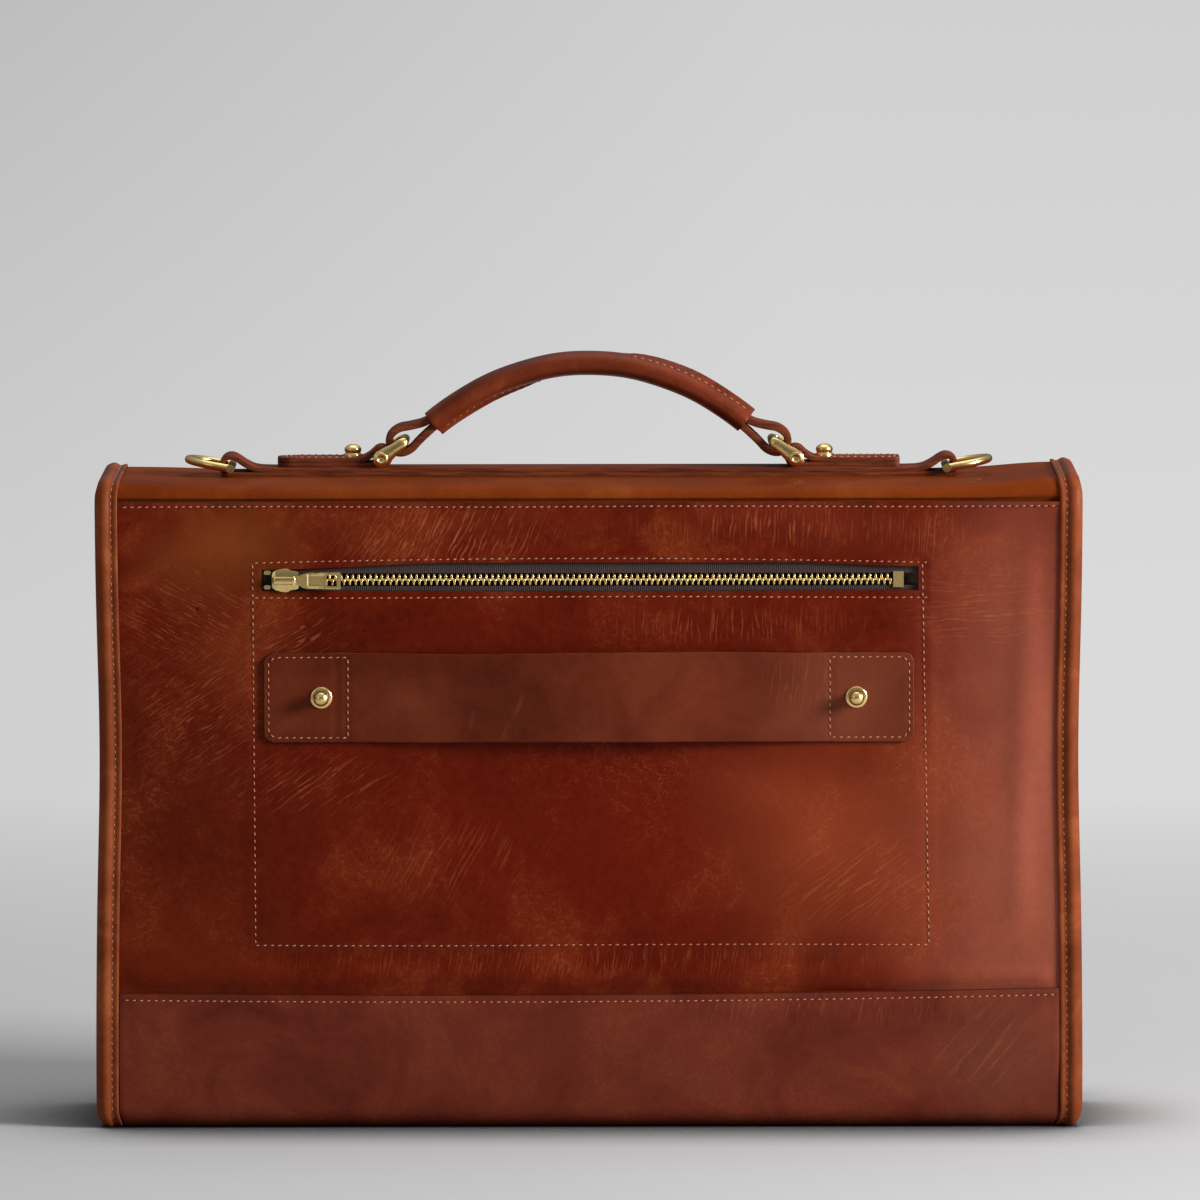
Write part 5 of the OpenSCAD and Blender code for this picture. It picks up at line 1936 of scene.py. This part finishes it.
@dataclass
class FlapFront:
    """Front of the flap."""

    finishes: Finishes
    stitcher: Stitcher

    def outward(self, x: Array, z: Array) -> Array:
        """Relief of the flap.

        Args:
            x: Places along X in mm.
            z: Places along Z in mm.

        Returns:
            How far the flap stands out at each place, in mm.
        """
        relief = 0.5 * np.sin(x / 33 + 0.4) * np.sin(z / 27 + 1.1) + 0.6 * hump(z, 190, 60)
        relief *= 1 - in_box(x, z, (-16, 16, 100, 132), 10)
        relief -= 0.35 * hump(z, 272.6, 1.6)
        return relief * (1 - ease(np.abs(x), 192, 204)) * ease(z, 119, 128) * (1 - ease(z, 272, 275))

    def panel(self, u: Array, v: Array) -> Array:
        """Outer face of the flap's front, with its rounded corners.

        Args:
            u: Shares across the flap.
            v: Shares of its height.

        Returns:
            The places in mm.
        """
        z0, r = PLAN.flap_z + PLAN.binding_t, PLAN.flap_corner - PLAN.binding_t
        z = z0 + read_along(stretches(0, (0.04, 8), (0.2, 14), (1, 53)), v) * (PLAN.seam_z - z0)
        near = np.clip(r - (z - z0), 0, r)
        x = (2 * u - 1) * (PLAN.panel_x - r + np.sqrt(np.maximum(r**2 - near**2, 0)))
        return columns(side_x(x, z), PLAN.flap_out + self.outward(x, z), z)

    def build(self) -> None:
        """Makes the flap and sews its seam."""
        skins, facing = (self.finishes.panel, self.finishes.edge), (0, 1, 0)
        piece = make_sheet("flap_leather", self.panel, (140, 75), skins, 1.8, facing)
        seat(piece, "flap_front", "panel_leather", "flap_panel")
        x, z = np.broadcast_arrays(np.linspace(-204, 204, 200), 272.8)
        row = columns(x, PLAN.flap_out + self.outward(x, z), z)
        seat(self.stitcher.sew("flap_seam_stitches", [(row, facing)]), "flap_front", "panel_leather")


@dataclass
class Hardware:
    """Brass and board pieces: some are turned and drawn here, the others keep the frame's shapes."""

    finishes: Finishes
    pin: tuple[float, float] = (91.2, 291.05)
    bow: tuple[float, float] = (80.5, 298.8)
    ear_y: float = 12.2
    bright: tuple[str, ...] = (
        "sleeve_stud_screws",
        "tab_stud_screws",
        "zip_top_stops",
        "zip_bottom_stop",
        "lock_base",
        "lock_toggle",
        "lock_plate",
        "lock_plate_rivets",
        "d_ring_left",
        "d_ring_right",
    )
    boards: tuple[str, ...] = ("base_board", "top_board")

    def shackle(self, hand: Hand) -> Object:
        """Draws a shackle: two teardrop ears and the round bow between them.

        Args:
            hand: The side of the bag.

        Returns:
            The piece.
        """
        start, end = np.array(self.pin), np.array(self.bow)
        length = float(np.linalg.norm(end - start))
        way = (end - start) / length
        ear = [(x, self.ear_y) for x in (-3.75, -3.5, -2.8, -1.6, 0.0, 3.0, 7.0)]
        half = np.array([*ear, *arc(length - 2.6, self.ear_y - 2.6, 2.6, 90, 0, 9), (length, 5.0)])
        path = np.vstack([half, (length, 0.0), half[::-1] * (1, -1)])
        wide = ([0, 1, 2, 3, 4, 5, 6, 15, 16], [0.9, 1.5, 2.6, 3.4, 3.75, 3.4, 2.7, 1.6, 1.5])
        thick = ([0, 1, 2, 6, 15, 16], [0.7, 0.9, 1.1, 1.15, 1.5, 1.5])
        halves = columns(*(np.interp(np.arange(len(half)), *k) for k in (wide, thick)))
        halves = np.vstack([halves, halves[-1:], halves[::-1]])
        tangent = unit(np.gradient(path, axis=0))

        def spread(along: Array, y: Array) -> Array:
            """Directions in space from those along the shackle and across it."""
            plane = np.outer(along, way) * (hand.value, 1)
            return columns(plane[:, 0], y, plane[:, 1])

        line = spread(*path.T) + (start[0] * hand.value, PLAN.mid_y, start[1])
        across, ups = (-way[1] * hand.value, 0.0, way[0]), spread(-tangent[:, 1], tangent[:, 0])
        return make_tube(f"shackle_bow_{hand.side}", line, across, ups, halves, (self.finishes.brass,), 20, 0.85)

    def build(self) -> None:
        """Makes the turned pieces and gives the others their finish."""
        skins = (self.finishes.brass,)
        head = [(0.9, -14.25), (1.3, -14.4), (1.7, -14.75), (2.5, -14.7), (2.9, -14.3), (2.9, -13.5), (2.0, -13.4)]
        pin = [*head, *((r, -h) for r, h in head[::-1])]
        stud = [(4.9, 0.0), (4.9, 0.5), (4.6, 0.9), (4.0, 1.1), (2.3, 1.2), (2.05, 1.6), (2.05, 2.4), (2.5, 2.9)]
        stud += [(3.4 * math.sin(a), 5.0 - 3.0 * math.cos(a)) for a in np.linspace(0.9, 3.1, 12)]
        button = [(4.0, -0.2), (4.0, 1.2), (3.8, 1.45), (3.4, 1.5), (3.3, 1.7)]
        button += [(3.75 * math.sin(a), 3.2 - 2.4 * math.cos(a)) for a in np.linspace(1.2, 3.1, 12)]
        sleeve, tab = [], []
        for hand in Hand:
            body = f"shackle_{hand.side}"
            seat(self.shackle(hand), body, "brass", body)
            x, z = hand.value * self.pin[0], self.pin[1]
            turned = turn_on_lathe(f"pin_{hand.side}", pin, (x, PLAN.mid_y, z), (0, 1, 0), skins)
            seat(turned, body, "brass", f"shackle_pin_{hand.side}")
            place = (hand.value * 117.0, PLAN.back_y - 1.6, 189.5)
            sleeve.append(turn_on_lathe("stud", stud, place, (0, -1, 0), skins))
            tab.append(turn_on_lathe("stud", button, (hand.value * 103.9, PLAN.mid_y, 291.1), (0, 0, 1), skins))
        seat(join_pieces("sleeve_ball_studs", sleeve), "root", "brass", "sleeve_studs")
        seat(join_pieces("tab_button_studs", tab), "flap_top", "brass", "tab_studs")
        dressed = [(name, self.finishes.brass) for name in self.bright]
        dressed += [(name, self.finishes.board) for name in self.boards]
        for name, finish in [*dressed, ("handle_filler", self.finishes.lining)]:
            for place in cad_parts[name].material_slots:
                place.material = finish
            LOG.info("%s is dressed in %s", name, finish.name)


@dataclass
class Studio:
    """Camera, lamps, and a pale floor in a pale room."""

    distance: float = 6.0
    height: float = 0.7086
    aim: tuple[float, float] = (0.0056, 0.2321)
    width: float = 0.5229
    roll: float = 0.08
    fill: float = 0.28
    mirrored: tuple[float, float] = (0.1, 0.6)
    contact_shadow_reach: float = 0.075
    tones: tuple[str, str, str, str] = ("#cfcfcf", "#dadada", "#b9b9b9", "#cdcdcd")
    floor: tuple[float, float] = (-4.0, 1.75)

    def place(self, name: str, data: bpy.types.ID, spot: Sequence[float], target: Sequence[float]) -> Object:
        """Puts a camera or lamp in the room.

        Args:
            name: Its name.
            data: Its settings.
            spot: Its place in metres.
            target: What it looks at.

        Returns:
            The camera or lamp.
        """
        made = bpy.data.objects.new(name, data)
        bpy.context.scene.collection.objects.link(made)
        made.location = spot
        made.rotation_mode = "QUATERNION"
        made.rotation_quaternion = (Vector(target) - made.location).to_track_quat("-Z", "Y")
        return made

    def camera(self) -> None:
        """Places the camera as the photograph's was."""
        data = bpy.data.cameras.new("camera")
        data.sensor_width = 36.0
        data.lens = data.sensor_width * self.distance / self.width
        data.clip_end = 30
        x, z = self.aim
        back = PLAN.back_y * MM
        made = self.place("camera", data, (x, back - self.distance, self.height), (x, back, z))
        made.rotation_mode = "XYZ"
        made.rotation_euler.y += math.radians(self.roll)
        bpy.context.scene.camera = made

    def lamp(self, name: str, spot: Sequence[float], size: float, watts: float) -> None:
        """Adds a soft white lamp that looks at the bag.

        Args:
            name: Name of the lamp.
            spot: Its place in metres.
            size: Side of its square face in metres.
            watts: Its power.
        """
        data = bpy.data.lights.new(name, "AREA")
        data.shape, data.size, data.energy = "SQUARE", size, watts
        self.place(name, data, spot, (0, 0, 0.16))

    def ground(self) -> None:
        """Makes the floor."""
        bpy.ops.object.select_all(action="DESELECT")
        bpy.ops.mesh.primitive_grid_add(x_subdivisions=8, y_subdivisions=8, size=2)
        piece = bpy.context.active_object
        piece.name = "floor"
        grid = read_points(piece)
        y = self.floor[0] + (grid[:, 1] + 1) / 2 * (self.floor[1] - self.floor[0])
        write_points(piece, columns(grid[:, 0] * 5, y, grid[:, 2]) / MM)
        made, nodes, place, shader = start_material("floor_paint")
        mist = nodes.add("TexNoise", {"Vector": place, "Scale": 2.2, "Detail": 3.0})
        tint = nodes.add("Mix", {0: mist, 6: paint("#c4c4c5"), 7: paint("#cccccd")}, 2, data_type="RGBA")
        # Painted contact shadow: ambient occlusion darkens the floor's colour where the bag stands on it, as under a
        # wide soft light.
        near = nodes.add("AmbientOcclusion", {"Distance": self.contact_shadow_reach}, "AO", samples=6)
        shade = nodes.add("MapRange", (near, 0.5, 0.97, 0.06))
        shaded = nodes.add("Mix", {0: 1.0, 6: tint, 7: shade}, 2, data_type="RGBA", blend_type="MULTIPLY")
        nodes.feed(shader, {"Base Color": shaded, "Roughness": 0.9, "Specular IOR Level": 0.1})
        # Towards its edges the camera sees the floor in the wall's own tones, so no line parts the two.
        side, depth = (nodes.add("SeparateXYZ", (place,), axis) for axis in "XY")
        rise = nodes.add("MapRange", (depth, 0.2, 1.5))
        reach = nodes.add("VectorMath", (place,), "Value", operation="LENGTH")
        off = nodes.add("Math", (side,), operation="ABSOLUTE")
        for span in ((reach, 1.0, 2.4), (off, 0.45, 1.2)):
            rise = nodes.add("Math", (rise, nodes.add("MapRange", span)), operation="MAXIMUM")
        right = nodes.add("MapRange", (side, -0.33, 0.11))
        tone = nodes.add("Mix", {0: right, 6: paint(self.tones[0]), 7: paint(self.tones[1])}, 2, data_type="RGBA")
        glow = nodes.add("Emission", (tone, 1.0))
        seen = nodes.add("Math", (rise, nodes.add("LightPath", out="Is Camera Ray")), operation="MULTIPLY")
        look = nodes.add("MixShader", (seen, shader.outputs[0], glow))
        nodes.feed(nodes.tree.nodes["Material Output"], (look,))
        piece.data.materials.append(made)

    def room(self) -> None:
        """Lights the room, and shows the camera its pale wall, lighter at the right and towards the floor."""
        world = bpy.data.worlds.new("room")
        world.use_nodes = True
        nodes = Nodes(world.node_tree)
        place = nodes.add("TexCoord", out="Generated")
        side, up = (nodes.add("SeparateXYZ", (place,), axis) for axis in "XZ")
        high = nodes.add("MapRange", (up, -0.08, -0.0245))
        right = nodes.add("MapRange", (side, -0.043, 0.014))
        pairs = (self.tones[:2], self.tones[2:])
        low, top = (nodes.add("Mix", {0: right, 6: paint(a), 7: paint(b)}, 2, data_type="RGBA") for a, b in pairs)
        wall = nodes.add("Mix", {0: high, 6: low, 7: top}, 2, data_type="RGBA")
        # Mirrored in leather and brass, the room is dark at eye level and lighter overhead.
        above = nodes.add("MapRange", (up, 0.0, 0.8, *self.mirrored))
        level = nodes.add("MapRange", (nodes.add("LightPath", out="Is Glossy Ray"), 0.0, 1.0, self.fill, above))
        lit = nodes.add("Background", (paint("#dcdee2"), level))
        seen = nodes.add("Background", (wall, 1.0))
        sky = nodes.add("MixShader", (nodes.add("LightPath", out="Is Camera Ray"), lit, seen))
        nodes.add("OutputWorld", (sky,))
        bpy.context.scene.world = world

    def build(self) -> None:
        """Sets up the studio."""
        self.camera()
        self.ground()
        self.room()
        self.lamp("window_right", (2.2, -1.0, 1.0), 0.85, 97)
        self.lamp("ceiling", (0.2, 0.45, 2.6), 2.4, 21)
        self.lamp("bounce_left", (-2.2, -2.4, 1.0), 1.6, 4)
        bpy.context.scene.view_settings.view_transform = "Standard"


def main() -> None:
    """Builds the bag and its studio."""
    logging.basicConfig(level=logging.INFO, format="%(name)s: %(message)s")
    Studio().build()
    finishes = Finishes()
    stitcher = Stitcher(finishes)
    wall = BackWall(finishes, stitcher)
    binding = Binding(finishes, stitcher)
    wall.build()
    BaseLeather(finishes, stitcher).build()
    SideEdges(binding).build()
    TopLeather(finishes).build()
    TopStraps(finishes, stitcher).build()
    Handle(finishes, stitcher).build()
    TrolleySleeve(wall).build()
    RearZip(finishes).build()
    FrontWall(finishes, stitcher).build()
    Inside(finishes).build()
    FlapFront(finishes, stitcher).build()
    Hardware(finishes).build()


if __name__ == "__main__":
    main()
